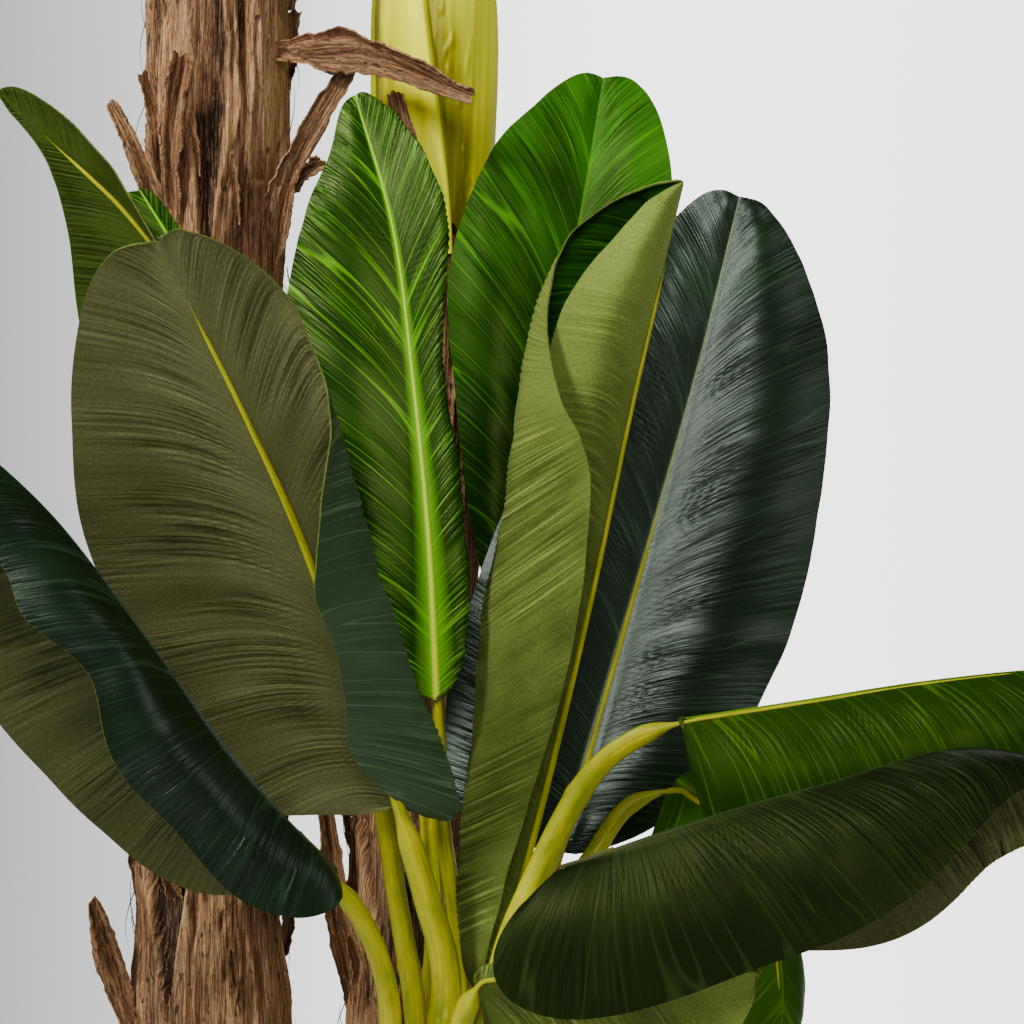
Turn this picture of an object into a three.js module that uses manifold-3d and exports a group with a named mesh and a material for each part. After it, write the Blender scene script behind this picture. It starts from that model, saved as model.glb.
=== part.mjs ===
// An artificial banana plant of three stems in a plain round pot, in millimetres, +Z up.
// The origin is the middle of the pot's flat underside. +Y points away from the front view.
import * as THREE from "three";
import { mergeVertices } from "three/addons/utils/BufferGeometryUtils.js";
import Module from "manifold-3d";

const wasm = await Module();
wasm.setup();

// Driving sizes
const GAP = 0.3; // left between pieces that touch
const BLADE_THICKNESS = 6;
const NARROWEST_HALF = 5; // half width that a blade keeps at its two ends

const POT = { height: 300, foot: 150, rim: 205, wall: 10, floor: 12, lip: 14, bevel: 6, edge: 3 };
const FILL_TOP = 270;

// Each stem is a path of its axis with radii from foot to top, and a green top on the two tall ones.
const TALL = {
  path: [[-95, 45, FILL_TOP + GAP], [-109, 66, 520], [-106, 70, 950], [-101, 70, 1370], [-98, 70, 1560]],
  radii: [76, 64, 61, 61, 60],
  rings: 14,
  top: {
    path: [[-98, 70, 1560 + GAP], [-96, 70, 1680], [-95, 68, 1800]],
    radii: [50, 47, 34],
    rings: 6,
  },
};
const MIDDLE = {
  path: [[60, 90, FILL_TOP + GAP], [62, 104, 480], [66, 110, 700], [76, 110, 960], [80, 110, 1160]],
  radii: [64, 54, 51, 50, 48],
  rings: 12,
  top: {
    path: [[80, 110, 1160 + GAP], [84, 110, 1300], [86, 110, 1420], [88, 108, 1520]],
    radii: [50, 53, 53, 36],
    rings: 8,
  },
};
const FRONT = {
  path: [[95, -95, FILL_TOP + GAP], [102, -110, 350], [112, -128, 440]],
  radii: [54, 44, 36],
  rings: 5,
};
const STEM_RIBS = { count: 3, depth: 0.025, twist: 5 };

// A stalk starts inside its stem and leaves it at a distance from the axis, a little higher.
const ROOT = { inside: 22, outside: 50, rise: 32 };
// The midrib lies under the blade, sunk by a share of its radius and a little more.
const RIB = { tipRadius: 3.2, reach: 0.9, sunk: 0.6, clear: 1 };
const STRIP = { thickness: 6, taper: 0.55, steps: 4 };

// Fineness of the meshes
const POT_SIDES = 40;
const TRUNK_SIDES = 16;
const STALK_SIDES = 5;
const FRONT_MESH = { rows: 12, columns: 2, rings: 11 };
const CROWN_MESH = { rows: 8, columns: 2, rings: 8 };

// Colours and finish
const FINISH = {
  pot: { color: 0x6f6c68, roughness: 0.8 },
  fill: { color: 0x5c5345, roughness: 1 },
  bark: { color: 0x7a5a40, roughness: 0.95 },
  sheath: { color: 0xb4b01e, roughness: 0.5 },
  leaf: { color: 0x2d6e22, roughness: 0.5 },
};

const { lerp, clamp, degToRad } = THREE.MathUtils;
const vector = ([x, y, z]) => new THREE.Vector3(x, y, z);
const curveThrough = (points) => new THREE.CatmullRomCurve3(points);

// A value at share s of a list that is spread evenly from 0 to 1, eased between its entries.
function spread(values, s) {
  if (values.length === 1) return values[0];
  const x = clamp(s, 0, 1) * (values.length - 1);
  const i = Math.min(Math.floor(x), values.length - 2);
  const at = (k) => values[clamp(k, 0, values.length - 1)];
  const f = x - i;
  const slope = (k) => (at(k + 1) - at(k - 1)) / 2;
  return (
    (2 * f ** 3 - 3 * f ** 2 + 1) * at(i) +
    (f ** 3 - 2 * f ** 2 + f) * slope(i) +
    (3 * f ** 2 - 2 * f ** 3) * at(i + 1) +
    (f ** 3 - f ** 2) * slope(i + 1)
  );
}

// A closed solid from a geometry, with each vertex moved by a function of its first position.
function shaped(geometry, place) {
  geometry.deleteAttribute("normal");
  geometry.deleteAttribute("uv");
  const merged = mergeVertices(geometry);
  const position = merged.getAttribute("position");
  const from = new THREE.Vector3();
  for (let i = 0; i < position.count; i++) {
    from.fromBufferAttribute(position, i);
    position.setXYZ(i, ...place(from).toArray());
  }
  return new wasm.Manifold(
    new wasm.Mesh({
      numProp: 3,
      vertProperties: new Float32Array(position.array),
      triVerts: new Uint32Array(merged.index.array),
    }),
  );
}

// The largest body of a solid, without the scraps that a cut leaves.
function largest(shape) {
  return shape.decompose().reduce((a, b) => (a.volume() > b.volume() ? a : b));
}

function mesh(name, shape, finish) {
  const { numVert, triVerts, vertProperties } = shape.getMesh();
  const geometry = new THREE.BufferGeometry();
  geometry.setAttribute("position", new THREE.BufferAttribute(vertProperties.slice(0, numVert * 3), 3));
  geometry.setIndex(new THREE.BufferAttribute(triVerts, 1));
  const made = new THREE.Mesh(geometry, new THREE.MeshStandardMaterial({ metalness: 0, ...finish }));
  made.name = name;
  return made;
}

// Round limbs

// A limb along a path, round in section, with its radius as a function of the share of its length.
function limb(points, radiusAt, rings) {
  const path = curveThrough(points);
  const frames = path.computeFrenetFrames(rings, false);
  return shaped(new THREE.CylinderGeometry(1, 1, 1, STALK_SIDES, rings), ({ x, y, z }) => {
    const ring = Math.round((y + 0.5) * rings);
    const across = frames.normals[ring].clone();
    const up = across.clone().cross(frames.tangents[ring]);
    const r = radiusAt(ring / rings);
    return path.getPointAt(ring / rings).addScaledVector(across, x * r).addScaledVector(up, z * r);
  });
}

// An upright stem with level rings and shallow ribs, cut flat at both ends.
function trunk(stem, grow = 0) {
  const path = curveThrough(stem.path.map(vector));
  return shaped(new THREE.CylinderGeometry(1, 1, 1, TRUNK_SIDES, stem.rings), ({ x, y, z }) => {
    const s = y + 0.5;
    const ribs = 1 + STEM_RIBS.depth * Math.sin(STEM_RIBS.count * Math.atan2(z, x) + STEM_RIBS.twist * s);
    const r = (spread(stem.radii, s) + grow) * ribs;
    const level = s === 0 ? -grow : s === 1 ? grow : 0;
    return path.getPointAt(s).add(new THREE.Vector3(x * r, -z * r, level));
  });
}

// A dried strip of leaf sheath that stands off a trunk: a tapering slat from root to tip.
function sheathStrip({ root, bend, tip, width }) {
  const path = curveThrough([root, bend, tip].map(vector));
  return shaped(new THREE.BoxGeometry(1, 1, 1, STRIP.steps, 1, 1), ({ x, y, z }) => {
    const s = x + 0.5;
    const along = path.getTangentAt(s);
    const across = along.clone().cross(new THREE.Vector3(0, 1, 0)).normalize();
    const out = along.clone().cross(across).normalize();
    const wide = width * (1 - STRIP.taper * s * s);
    return path.getPointAt(s).addScaledVector(across, y * wide).addScaledVector(out, z * STRIP.thickness);
  });
}

const withStrips = (stem, strips) => strips.map(sheathStrip).reduce((a, b) => a.add(b), stem);

// Leaves

// A half of a blade is a chain of strips from the midrib outwards. Each strip has its width at
// stations that crowd towards the blade's two ends, seven of them or fifteen where the margin is
// wavy, its lift in degrees above the flat, and its slant, which is how far a vein runs towards the
// tip for each millimetre that it runs outwards. Lifts and slants are spread over the same stretch.
const SWEPT = [-0.25, 0, 0.25, 0.5, 0.6, 0.6, 0.6];

// Half a blade as one arch of two strips, from its whole width, its chord's lift and its whole curl.
function arch(widths, lift, curl, slant = SWEPT) {
  const halves = widths.map((w) => w / 2);
  return [
    { widths: halves, lift: lift.map((a) => a + curl / 4), slant },
    { widths: halves, lift: lift.map((a) => a - curl / 4), slant },
  ];
}

// The midrib's frame at share u of its length: up is the side that the blade's top faces.
function frameAt({ midrib, facing }, u) {
  const rib = curveThrough(midrib.map(vector));
  const along = rib.getTangentAt(u);
  const up = vector(facing[0]).lerp(vector(facing[facing.length - 1]), u);
  up.addScaledVector(along, -up.dot(along)).normalize();
  return { centre: rib.getPointAt(u), along, up, right: along.clone().cross(up) };
}

// The share of the midrib's length that row s stands at: rows crowd towards both ends.
const ribShare = (s) => (1 - Math.cos(Math.PI * s)) / 2;
// The place of row s between the stations for lift and slant, which leave out the two ends.
const stationShare = (s) => (8 * s - 1) / 6;

// One row of a half, from the midrib to the margin.
function halfRow(strips, side, s, { centre, along, up, right }, columns) {
  const points = [centre];
  for (const { widths, lift, slant } of strips) {
    const width = Math.max(spread([0, ...widths, 0], s), NARROWEST_HALF / strips.length);
    const angle = degToRad(spread(lift, stationShare(s)));
    const next = points[points.length - 1].clone();
    next.addScaledVector(right, side * width * Math.cos(angle));
    next.addScaledVector(up, width * Math.sin(angle));
    next.addScaledVector(along, width * spread(slant, stationShare(s)));
    points.push(next);
  }
  const line = curveThrough(points);
  return Array.from({ length: columns + 1 }, (_, k) => line.getPointAt(k / columns));
}

// The blade's middle surface as rows from base to tip, each from the left edge to the right edge.
function bladeRows(leaf, rows, columns) {
  return Array.from({ length: rows + 1 }, (_, i) => {
    const s = i / rows;
    const frame = frameAt(leaf, ribShare(s));
    const left = halfRow(leaf.left, -1, s, frame, columns);
    const right = halfRow(leaf.right, 1, s, frame, columns);
    return [...left.reverse(), ...right.slice(1)];
  });
}

function blade(leaf, rows, columns) {
  const grid = bladeRows(leaf, rows, columns);
  const last = 2 * columns;
  const pick = (i, j) => grid[clamp(i, 0, rows)][clamp(j, 0, last)];
  const normal = (i, j) => {
    const along = pick(i + 1, j).clone().sub(pick(i - 1, j));
    const across = pick(i, j + 1).clone().sub(pick(i, j - 1));
    return across.cross(along).normalize();
  };
  return shaped(new THREE.BoxGeometry(1, 1, 1, rows, last, 1), ({ x, y, z }) => {
    const i = Math.round((x + 0.5) * rows);
    const j = Math.round((0.5 - y) * last);
    return pick(i, j).clone().addScaledVector(normal(i, j), z * BLADE_THICKNESS);
  });
}

// The leaf stalk and the midrib are one limb, which lies along the blade's underside.
function stalk(leaf, rings) {
  const [root, neck] = leaf.stalkRadii;
  const ribRadius = (u) => lerp(neck, RIB.tipRadius, u / RIB.reach);
  const ribPoints = [0.03, 0.25, 0.5, 0.7, RIB.reach].map((u) => {
    const { centre, up } = frameAt(leaf, u);
    return centre.addScaledVector(up, -RIB.sunk * ribRadius(u) - RIB.clear);
  });
  const points = [...leaf.stalk.map(vector), ...ribPoints];
  const ribLength = curveThrough(leaf.midrib.map(vector)).getLength() * RIB.reach;
  const base = 1 - ribLength / curveThrough(points).getLength();
  const radiusAt = (s) => {
    if (s < base) return lerp(root, neck, s / base);
    return ribRadius(((s - base) / (1 - base)) * RIB.reach);
  };
  return limb(points, radiusAt, rings);
}

function leafNode(leaf, stemGrown, { rows, columns, rings }) {
  const joined = blade(leaf, rows, leaf.columns ?? columns).add(stalk(leaf, rings));
  return mesh(leaf.name, largest(joined.subtract(stemGrown)), FINISH.leaf);
}

// A point inside or outside a stem, by its bearing in degrees, its distance from the axis and its height.
function around(stem, bearing, distance, height) {
  const low = stem.path[0][2];
  const high = stem.path[stem.path.length - 1][2];
  const share = clamp((height - low) / (high - low), 0, 1);
  const { x, y } = curveThrough(stem.path.map(vector)).getPointAt(share);
  const turn = degToRad(bearing);
  return [x + distance * Math.cos(turn), y + distance * Math.sin(turn), height];
}

// The front stem's leaves, each by its own midrib, facing and halves.
// A root is its bearing round the stem and its height, and stalk points follow it up to the blade.
const FRONT_LEAVES = [
  {
    name: "leaf_dark_right",
    root: [50, 400],
    stalk: [[157, -100, 562], [182, -85, 625]],
    stalkRadii: [10, 7],
    midrib: [[195, -75, 655], [235, -40, 790], [275, -15, 925], [315, 5, 1065], [350, 20, 1205]],
    facing: [[-0.1, -1, 0.1], [-0.1, -1, 0.2]],
    left: arch([80, 125, 130, 115, 95, 60, 30], [10], 30),
    right: arch([35, 100, 140, 135, 110, 70, 30], [-15], 45),
  },
  {
    name: "leaf_bright_back",
    root: [90, 405],
    stalk: [[128, -70, 520], [134, -30, 640], [140, -16, 760]],
    stalkRadii: [10, 7],
    midrib: [[145, -10, 830], [165, 15, 950], [190, 40, 1075], [215, 58, 1195], [235, 72, 1315]],
    facing: [[-0.1, -1, 0.1], [-0.1, -1, 0.2]],
    left: arch([10, 35, 70, 105, 90, 55, 25], [0, 5, 10], 45, [0, 0.1, 0.35, 0.6, 0.75, 0.75, 0.7]),
    right: arch([15, 40, 65, 80, 80, 60, 30], [10], 35),
  },
  {
    name: "leaf_bright_middle",
    columns: 3,
    root: [100, 425],
    inner: 12,
    stalk: [[114, -113, 560], [99, -122, 685]],
    stalkRadii: [9, 5],
    midrib: [[95, -150, 785], [88, -140, 915], [75, -120, 1040], [58, -98, 1165], [25, -60, 1280]],
    facing: [[-0.2, -1, 0.1], [-0.3, -1, 0.2]],
    left: arch([35, 70, 95, 100, 70, 35, 15], [10, 5, 10], 45, [0.1, 0.3, 0.55, 0.8, 0.9, 0.9, 0.8]),
    right: [
      {
        widths: [20, 30, 30, 25, 45, 35, 15],
        lift: [-15, -20, -5, 5],
        slant: [0.1, 0.3, 0.55, 0.8, 0.85, 0.8],
      },
      {
        widths: [10, 25, 35, 35, 30, 20, 10],
        lift: [-150, -130, -135, -160],
        slant: [0.1, 0.15, 0.25, 0.5],
      },
    ],
  },
  {
    name: "leaf_rolled",
    columns: 5,
    root: [290, 425],
    inner: 10,
    stalk: [[128, -146, 500]],
    stalkRadii: [11, 9],
    midrib: [[135, -150, 550], [180, -130, 715], [220, -115, 880], [255, -95, 1040], [295, -80, 1205]],
    facing: [[-1, 0, 0.3]],
    right: [
      {
        widths: [10, 15, 25, 30, 40, 45, 25],
        lift: [65, 60, 60, 50, 35],
        slant: [-0.3, -0.1, -0.2, -0.4, -0.3],
      },
      {
        widths: [5, 15, 20, 30, 35, 40, 15],
        lift: [110, 110, 105, 110],
        slant: [-0.2, -0.5, -0.4, -0.1],
      },
    ],
    left: [
      {
        widths: [20, 35, 50, 60, 60, 55, 25],
        lift: [20, 25, 25, 30, 35],
        slant: [0.1, 0.1, 0, 0.1, 0.5],
      },
      {
        widths: [20, 40, 55, 75, 80, 70, 25],
        lift: [125, 130, 135, 130, 90],
        slant: [-0.5, -0.6, -0.6, -0.7, -0.1],
      },
      {
        widths: [30, 55, 75, 90, 80, 45, 15],
        lift: [-150, -140, -130, -130, -140, -165, -240],
        slant: [0.2, 0.35, 0.5, 0.65, 0.35, -0.45, -0.75],
      },
    ],
  },
  {
    name: "leaf_large_left",
    columns: 4,
    root: [245, 395],
    stalk: [[103, -165, 564], [86, -175, 637]],
    stalkRadii: [16, 9],
    midrib: [[67, -185, 705], [30, -230, 815], [-5, -280, 920], [-50, -330, 1025], [-100, -370, 1130]],
    facing: [[0.1, 1, 0.3]],
    right: arch(
      [50, 125, 155, 160, 125, 80, 35],
      [-15, 0, 0],
      45,
      [-0.15, -0.2, 0, 0.25, 0.4, 0.55, 0.7],
    ),
    left: [
      {
        widths: [25, 40, 50, 50, 50, 50, 50, 55, 60, 60, 60, 50, 35, 20, 10],
        lift: [5, 0, -5, 0, 15, 20, 20],
        slant: [-1.1, -0.6, 0, 0.3, 0.5, 0.55, 0.7],
      },
      {
        widths: [10, 40, 65, 70, 60, 55, 60, 45, 30, 15, 10, 5, 5, 5, 5],
        lift: [-165, -160, -145, -120, -60, -20, 0],
        slant: [0.8, 0.3, 0.1, 0, 0],
      },
    ],
  },
  {
    name: "leaf_tent_left",
    root: [205, 385],
    stalk: [[58, -185, 560], [39, -208, 618]],
    stalkRadii: [12, 8],
    midrib: [[20, -230, 660], [-50, -275, 745], [-115, -305, 840], [-185, -325, 935], [-270, -350, 1015]],
    facing: [[0.6, -0.2, 0.7]],
    left: arch(
      [10, 25, 45, 65, 80, 80, 90, 65, 80, 65, 75, 75, 60, 40, 20],
      [-10, -40, -45, -35, -40, -50, -65],
      70,
      [-1.1, -0.6, 0.2, 0.3, 0.4],
    ),
    right: arch(
      [15, 50, 125, 155, 140, 100, 55],
      [-120, -90, -75, -75, -75, -80, -90],
      50,
      [-1.3, -0.8, 0, 0.15, 0.3],
    ),
  },
  {
    name: "leaf_tent_right",
    root: [278, 390],
    stalk: [[160, -212, 545], [176, -275, 615]],
    stalkRadii: [11, 8],
    midrib: [[190, -330, 675], [285, -350, 710], [385, -360, 740], [485, -360, 765], [580, -350, 745]],
    facing: [[-0.1, 0, 1], [0, 0, 1]],
    right: arch(
      [25, 115, 120, 110, 75, 35, 10],
      [-45, -70, -70, -60, -50, -40, -20],
      60,
      [-2, -0.7, 0.1, 0.2, 0.2, 0.1, -0.5],
    ),
    left: arch(
      [15, 60, 115, 150, 110, 70, 30],
      [-75, -75, -70, -65, -65, -70, -75],
      50,
      [-0.5, -0.3, 0, 0.2, 0.4, 0.45],
    ),
  },
  {
    name: "leaf_bright_right",
    root: [325, 405],
    stalk: [[146, -175, 562], [173, -185, 646], [216, -192, 729], [251, -200, 759]],
    stalkRadii: [18, 8],
    midrib: [[285, -210, 775], [380, -215, 790], [475, -220, 805], [575, -225, 815], [670, -220, 815]],
    facing: [[0, 0, 1]],
    left: arch([60, 85, 105, 110, 90, 50, 15], [-30], 40, [0, 0, 0.1, 0.25, 0.35, 0.45, 0.5]),
    right: arch(
      [110, 120, 115, 105, 85, 50, 15],
      [-90, -80, -75, -70, -65, -65, -65],
      70,
      [0, 0, 0.1, 0.25, 0.3],
    ),
  },
  {
    name: "leaf_hanging_right",
    root: [5, 400],
    stalk: [[178, -120, 573], [219, -95, 651], [252, -80, 694]],
    stalkRadii: [13, 7],
    midrib: [[290, -80, 715], [335, -130, 685], [360, -165, 625], [368, -185, 550], [355, -185, 470]],
    facing: [[0.6, 0, 0.6], [1, 0, 0]],
    left: arch([20, 35, 50, 55, 50, 30, 10], [80, 60, 35, 20, 25, 35, 40], 60, [-0.2, 0, 0.1, 0.3]),
    right: arch([60, 90, 110, 110, 90, 60, 25], [-100, -90, -80, -75], 60, [0, 0.1, 0.25, 0.3, 0.35]),
  },
  {
    name: "leaf_far_left",
    root: [172, 395],
    stalk: [[78, -122, 500], [60, -128, 640], [38, -142, 780]],
    stalkRadii: [10, 6],
    midrib: [[20, -155, 895], [-30, -168, 1000], [-90, -180, 1095], [-160, -190, 1185], [-245, -205, 1260]],
    facing: [[0.3, 1, 0.3]],
    right: arch(
      [70, 115, 120, 85, 45, 15, 5],
      [-20, -20, -25, -50],
      35,
      [0.05, 0.2, 0.4, 0.55, 0.6, 0.6, 0.2],
    ),
    left: arch(
      [10, 20, 30, 35, 30, 25, 15],
      [5, -10, -30, -60, -50, -15, 10],
      35,
      [0.1, 0.2, 0.3, 0.1, 0.2, 0.5, 0.6],
    ),
  },
  {
    name: "leaf_behind_left",
    root: [130, 400],
    stalk: [[92, -88, 573], [88, -74, 659]],
    stalkRadii: [11, 7],
    midrib: [[83, -70, 767], [37, -62, 862], [-22, -52, 970], [-89, -46, 1095], [-156, -40, 1204]],
    facing: [[-0.1, -1, 0.2]],
    left: arch([20, 55, 65, 70, 65, 45, 30], [-5, -15, -5], 35, [0.1, 0.25, 0.45, 0.6, 0.7, 0.7, 0.7]),
    right: arch([5, 15, 40, 50, 35, 15, 10], [35, 20, 20], 35, [0, 0.1, 0.3, 0.45, 0.55, 0.6, 0.6]),
  },
  {
    name: "leaf_low_front",
    root: [262, 350],
    stalk: [[105, -215, 470], [115, -250, 540]],
    stalkRadii: [11, 8],
    midrib: [[128, -272, 580], [180, -300, 596], [235, -316, 602], [290, -326, 602], [336, -330, 596]],
    facing: [[0, 1, 0.1]],
    left: arch([95, 115, 120, 110, 90, 60, 30], [5], 30, [-0.3, -0.1, 0.1, 0.25, 0.3, 0.3, 0.2]),
    right: arch([10, 12, 18, 22, 20, 15, 8], [20], 40),
  },
];

// The two taller stems carry arching leaves by one rule: age 0 is the lowest leaf, 1 the youngest.
// Each pair holds the lowest leaf's value and the youngest's.
const CROWN = {
  root: [-150, -25], // height of the stalk's root, from the stem's top
  rise: [34, 76], // degrees above level where the stalk leaves the stem
  droop: [62, 36], // degrees that the leaf turns down from root to tip
  stalk: [170, 220],
  upright: 14, // degrees that the very root is steeper
  bend: 1.2, // over 1 puts more of the bend near the tip
  steps: 40,
  widthShare: 0.205, // widest half, as a share of the blade's length
  halfWidths: [0.5, 0.86, 1, 0.98, 0.84, 0.6, 0.32],
  stalkRadii: [13, 8],
  left: { lift: [6, -8, -22], curl: 50 },
  right: { lift: [6, -12, -26], curl: 60 },
};
const MIDDLE_LEAVES = [
  { bearing: 300, age: 0.0, length: 500, tilt: 8 },
  { bearing: 75, age: 0.1, length: 520, tilt: -8 },
  { bearing: 350, age: 0.3, length: 560, tilt: 10 },
  { bearing: 125, age: 0.45, length: 520, tilt: -6 },
  { bearing: 250, age: 0.5, length: 520, tilt: 6 },
  { bearing: 30, age: 0.75, length: 560, tilt: -10 },
];
const TALL_LEAVES = [
  { bearing: 200, age: 0.0, length: 560, tilt: 8 },
  { bearing: 335, age: 0.35, length: 580, tilt: -8 },
  { bearing: 110, age: 0.15, length: 580, tilt: 6 },
  { bearing: 245, age: 0.3, length: 600, tilt: -6 },
  { bearing: 20, age: 0.55, length: 600, tilt: 8 },
  { bearing: 155, age: 0.5, length: 600, tilt: -10 },
  { bearing: 290, age: 0.75, length: 600, tilt: 6 },
  { bearing: 65, age: 0.9, length: 560, tilt: -6 },
];

function archingLeaf(name, stem, { bearing, age, length, tilt }) {
  const byAge = ([low, high]) => lerp(low, high, age);
  const rise = byAge(CROWN.rise);
  const droop = byAge(CROWN.droop) + CROWN.upright;
  const stalkLength = byAge(CROWN.stalk);
  const whole = stalkLength + length;
  const top = stem.path[stem.path.length - 1][2];
  const turn = degToRad(bearing);
  const outward = new THREE.Vector3(Math.cos(turn), Math.sin(turn), 0);
  const sideways = new THREE.Vector3(-Math.sin(turn), Math.cos(turn), 0);
  const upward = new THREE.Vector3(0, 0, 1);

  const points = [vector(around(stem, bearing, ROOT.inside, top + byAge(CROWN.root)))];
  for (let k = 0; k < CROWN.steps; k++) {
    const pitch = degToRad(rise + CROWN.upright - droop * ((k + 0.5) / CROWN.steps) ** CROWN.bend);
    const next = points[k].clone().addScaledVector(outward, (Math.cos(pitch) * whole) / CROWN.steps);
    points.push(next.addScaledVector(upward, (Math.sin(pitch) * whole) / CROWN.steps));
  }
  const at = (distance) => points[Math.round((distance / whole) * CROWN.steps)].toArray();

  const facing = upward.clone().addScaledVector(sideways, Math.sin(degToRad(tilt)));
  facing.addScaledVector(outward, -Math.sin(degToRad(rise)));
  const widths = CROWN.halfWidths.map((w) => w * length * CROWN.widthShare);
  return {
    name,
    stalk: [at(0), at(stalkLength * 0.35), at(stalkLength * 0.7)],
    stalkRadii: CROWN.stalkRadii,
    midrib: [0, 0.25, 0.5, 0.75, 1].map((share) => at(stalkLength + share * length)),
    facing: [facing.toArray(), upward.toArray()],
    left: arch(widths, CROWN.left.lift, CROWN.left.curl),
    right: arch(widths, CROWN.right.lift, CROWN.right.curl),
  };
}

// Dried strips of sheath on the two bark trunks
const TALL_STRIPS = [
  { root: [-140, 40, 1165], bend: [-160, 18, 1225], tip: [-187, 8, 1285], width: 26 },
  { root: [-134, 28, 1150], bend: [-136, 2, 1240], tip: [-124, -8, 1325], width: 22 },
  { root: [-62, 52, 1130], bend: [-36, 22, 1225], tip: [17, 18, 1320], width: 26 },
  { root: [-62, 40, 1335], bend: [25, 2, 1325], tip: [120, -14, 1286], width: 24 },
  { root: [-160, 50, 430], bend: [-180, 30, 510], tip: [-204, 22, 602], width: 30 },
];
const MIDDLE_STRIPS = [
  { root: [60, 75, 1090], bend: [74, 48, 1200], tip: [54, 36, 1296], width: 26 },
  { root: [25, 90, 480], bend: [4, 72, 580], tip: [-8, 66, 680], width: 28 },
];

// The pot and its fill, as round profiles about the upright axis
function turned(profile) {
  const outline = profile.map(([r, h]) => new THREE.Vector2(r, h));
  const round = new THREE.LatheGeometry(outline, POT_SIDES);
  return shaped(round, ({ x, y, z }) => new THREE.Vector3(x, -z, y));
}

const potInside = (height) => lerp(POT.foot, POT.rim, height / POT.height) - POT.wall;

function pot() {
  const { height, foot, rim, floor, lip, bevel, edge } = POT;
  return turned([
    [0, 0],
    [foot - bevel, 0],
    [foot, bevel],
    [rim - edge, height - lip - edge],
    [rim + edge, height - lip],
    [rim + edge, height - edge],
    [rim, height],
    [potInside(height) + edge, height],
    [potInside(height), height - edge],
    [potInside(floor), floor],
    [0, floor],
  ]);
}

function fill() {
  return turned([
    [0, POT.floor + GAP],
    [potInside(POT.floor) - GAP, POT.floor + GAP],
    [potInside(FILL_TOP) - GAP, FILL_TOP],
    [0, FILL_TOP],
  ]);
}

const plant = new THREE.Group();
plant.add(mesh("pot", pot(), FINISH.pot));
plant.add(mesh("pot_fill", fill(), FINISH.fill));
plant.add(mesh("trunk_tall", withStrips(trunk(TALL), TALL_STRIPS), FINISH.bark));
const middleBark = withStrips(trunk(MIDDLE), MIDDLE_STRIPS).subtract(trunk(MIDDLE.top, GAP));
plant.add(mesh("trunk_middle", middleBark, FINISH.bark));
plant.add(mesh("stem_tall_green", trunk(TALL.top), FINISH.sheath));
plant.add(mesh("stem_middle_green", trunk(MIDDLE.top), FINISH.sheath));
plant.add(mesh("stem_front", trunk(FRONT), FINISH.sheath));

const frontGrown = trunk(FRONT, GAP);
for (const leaf of FRONT_LEAVES) {
  const [bearing, height] = leaf.root;
  const start = [around(FRONT, bearing, leaf.inner ?? ROOT.inside, height)];
  if (!leaf.inner) start.push(around(FRONT, bearing, ROOT.outside, height + ROOT.rise));
  plant.add(leafNode({ ...leaf, stalk: [...start, ...leaf.stalk] }, frontGrown, FRONT_MESH));
}

const crowns = [
  ["leaf_middle_", MIDDLE.top, MIDDLE_LEAVES],
  ["leaf_tall_", TALL.top, TALL_LEAVES],
];
for (const [prefix, stem, leaves] of crowns) {
  const grown = trunk(stem, GAP);
  leaves.forEach((spec, k) => {
    plant.add(leafNode(archingLeaf(`${prefix}${k + 1}`, stem, spec), grown, CROWN_MESH));
  });
}

export default plant;
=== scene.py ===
# %% [markdown]
# # An artificial banana plant in a plain pot
# The plant has three stems: two bark trunks with a green top each, and a short stem in front.
# Wide leaves of pressed cloth hang on soft plastic stalks. We load the model's solids first,
# because each finished piece below has to stay where its solid is.

# %% The CAD model
import math

import bpy
import numpy as np
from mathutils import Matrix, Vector, noise


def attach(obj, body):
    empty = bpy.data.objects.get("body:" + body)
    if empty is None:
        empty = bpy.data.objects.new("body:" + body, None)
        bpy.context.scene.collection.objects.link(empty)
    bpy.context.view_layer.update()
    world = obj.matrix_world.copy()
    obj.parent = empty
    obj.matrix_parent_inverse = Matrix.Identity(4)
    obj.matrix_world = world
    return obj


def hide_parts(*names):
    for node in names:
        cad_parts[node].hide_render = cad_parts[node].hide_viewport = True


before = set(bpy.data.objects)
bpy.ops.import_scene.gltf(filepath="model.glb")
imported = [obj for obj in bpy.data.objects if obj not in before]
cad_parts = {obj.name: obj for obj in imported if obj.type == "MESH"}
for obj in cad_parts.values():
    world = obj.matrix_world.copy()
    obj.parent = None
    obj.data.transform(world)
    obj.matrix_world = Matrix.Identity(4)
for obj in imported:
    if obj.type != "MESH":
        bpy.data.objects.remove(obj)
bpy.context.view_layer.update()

# %% [markdown]
# ## The camera
# The photograph looks level at the middle of the plant through a long lens, so the edges of the
# picture cut off the pot and the crowns. A long lens keeps upright things parallel: we use
# 100 mm, and stand about two and a half metres away.

# %% Camera
CAMERA_PLACE = (0.155, -2.4178, 0.935)
bpy.ops.object.camera_add(location=CAMERA_PLACE, rotation=(math.pi / 2, 0, 0))
camera = bpy.context.object
camera.data.lens = 100
camera.data.sensor_width = 36
bpy.context.scene.camera = camera

# %% [markdown]
# ## Small helpers for materials
# Every finish below is a few nodes on a Principled shader: a pattern gives a colour through a
# ramp and a height through a bump. Plain numbers such as roughness stay on the shader itself.
# A helper works in the node tree that its sockets belong to.

# %% Node helpers
COAT_ROUGHNESS = 0.25
LIGHT_REACH = (0.006, 0.008, 0.001)  # how far red, green and blue light go into soft plastic


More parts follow.
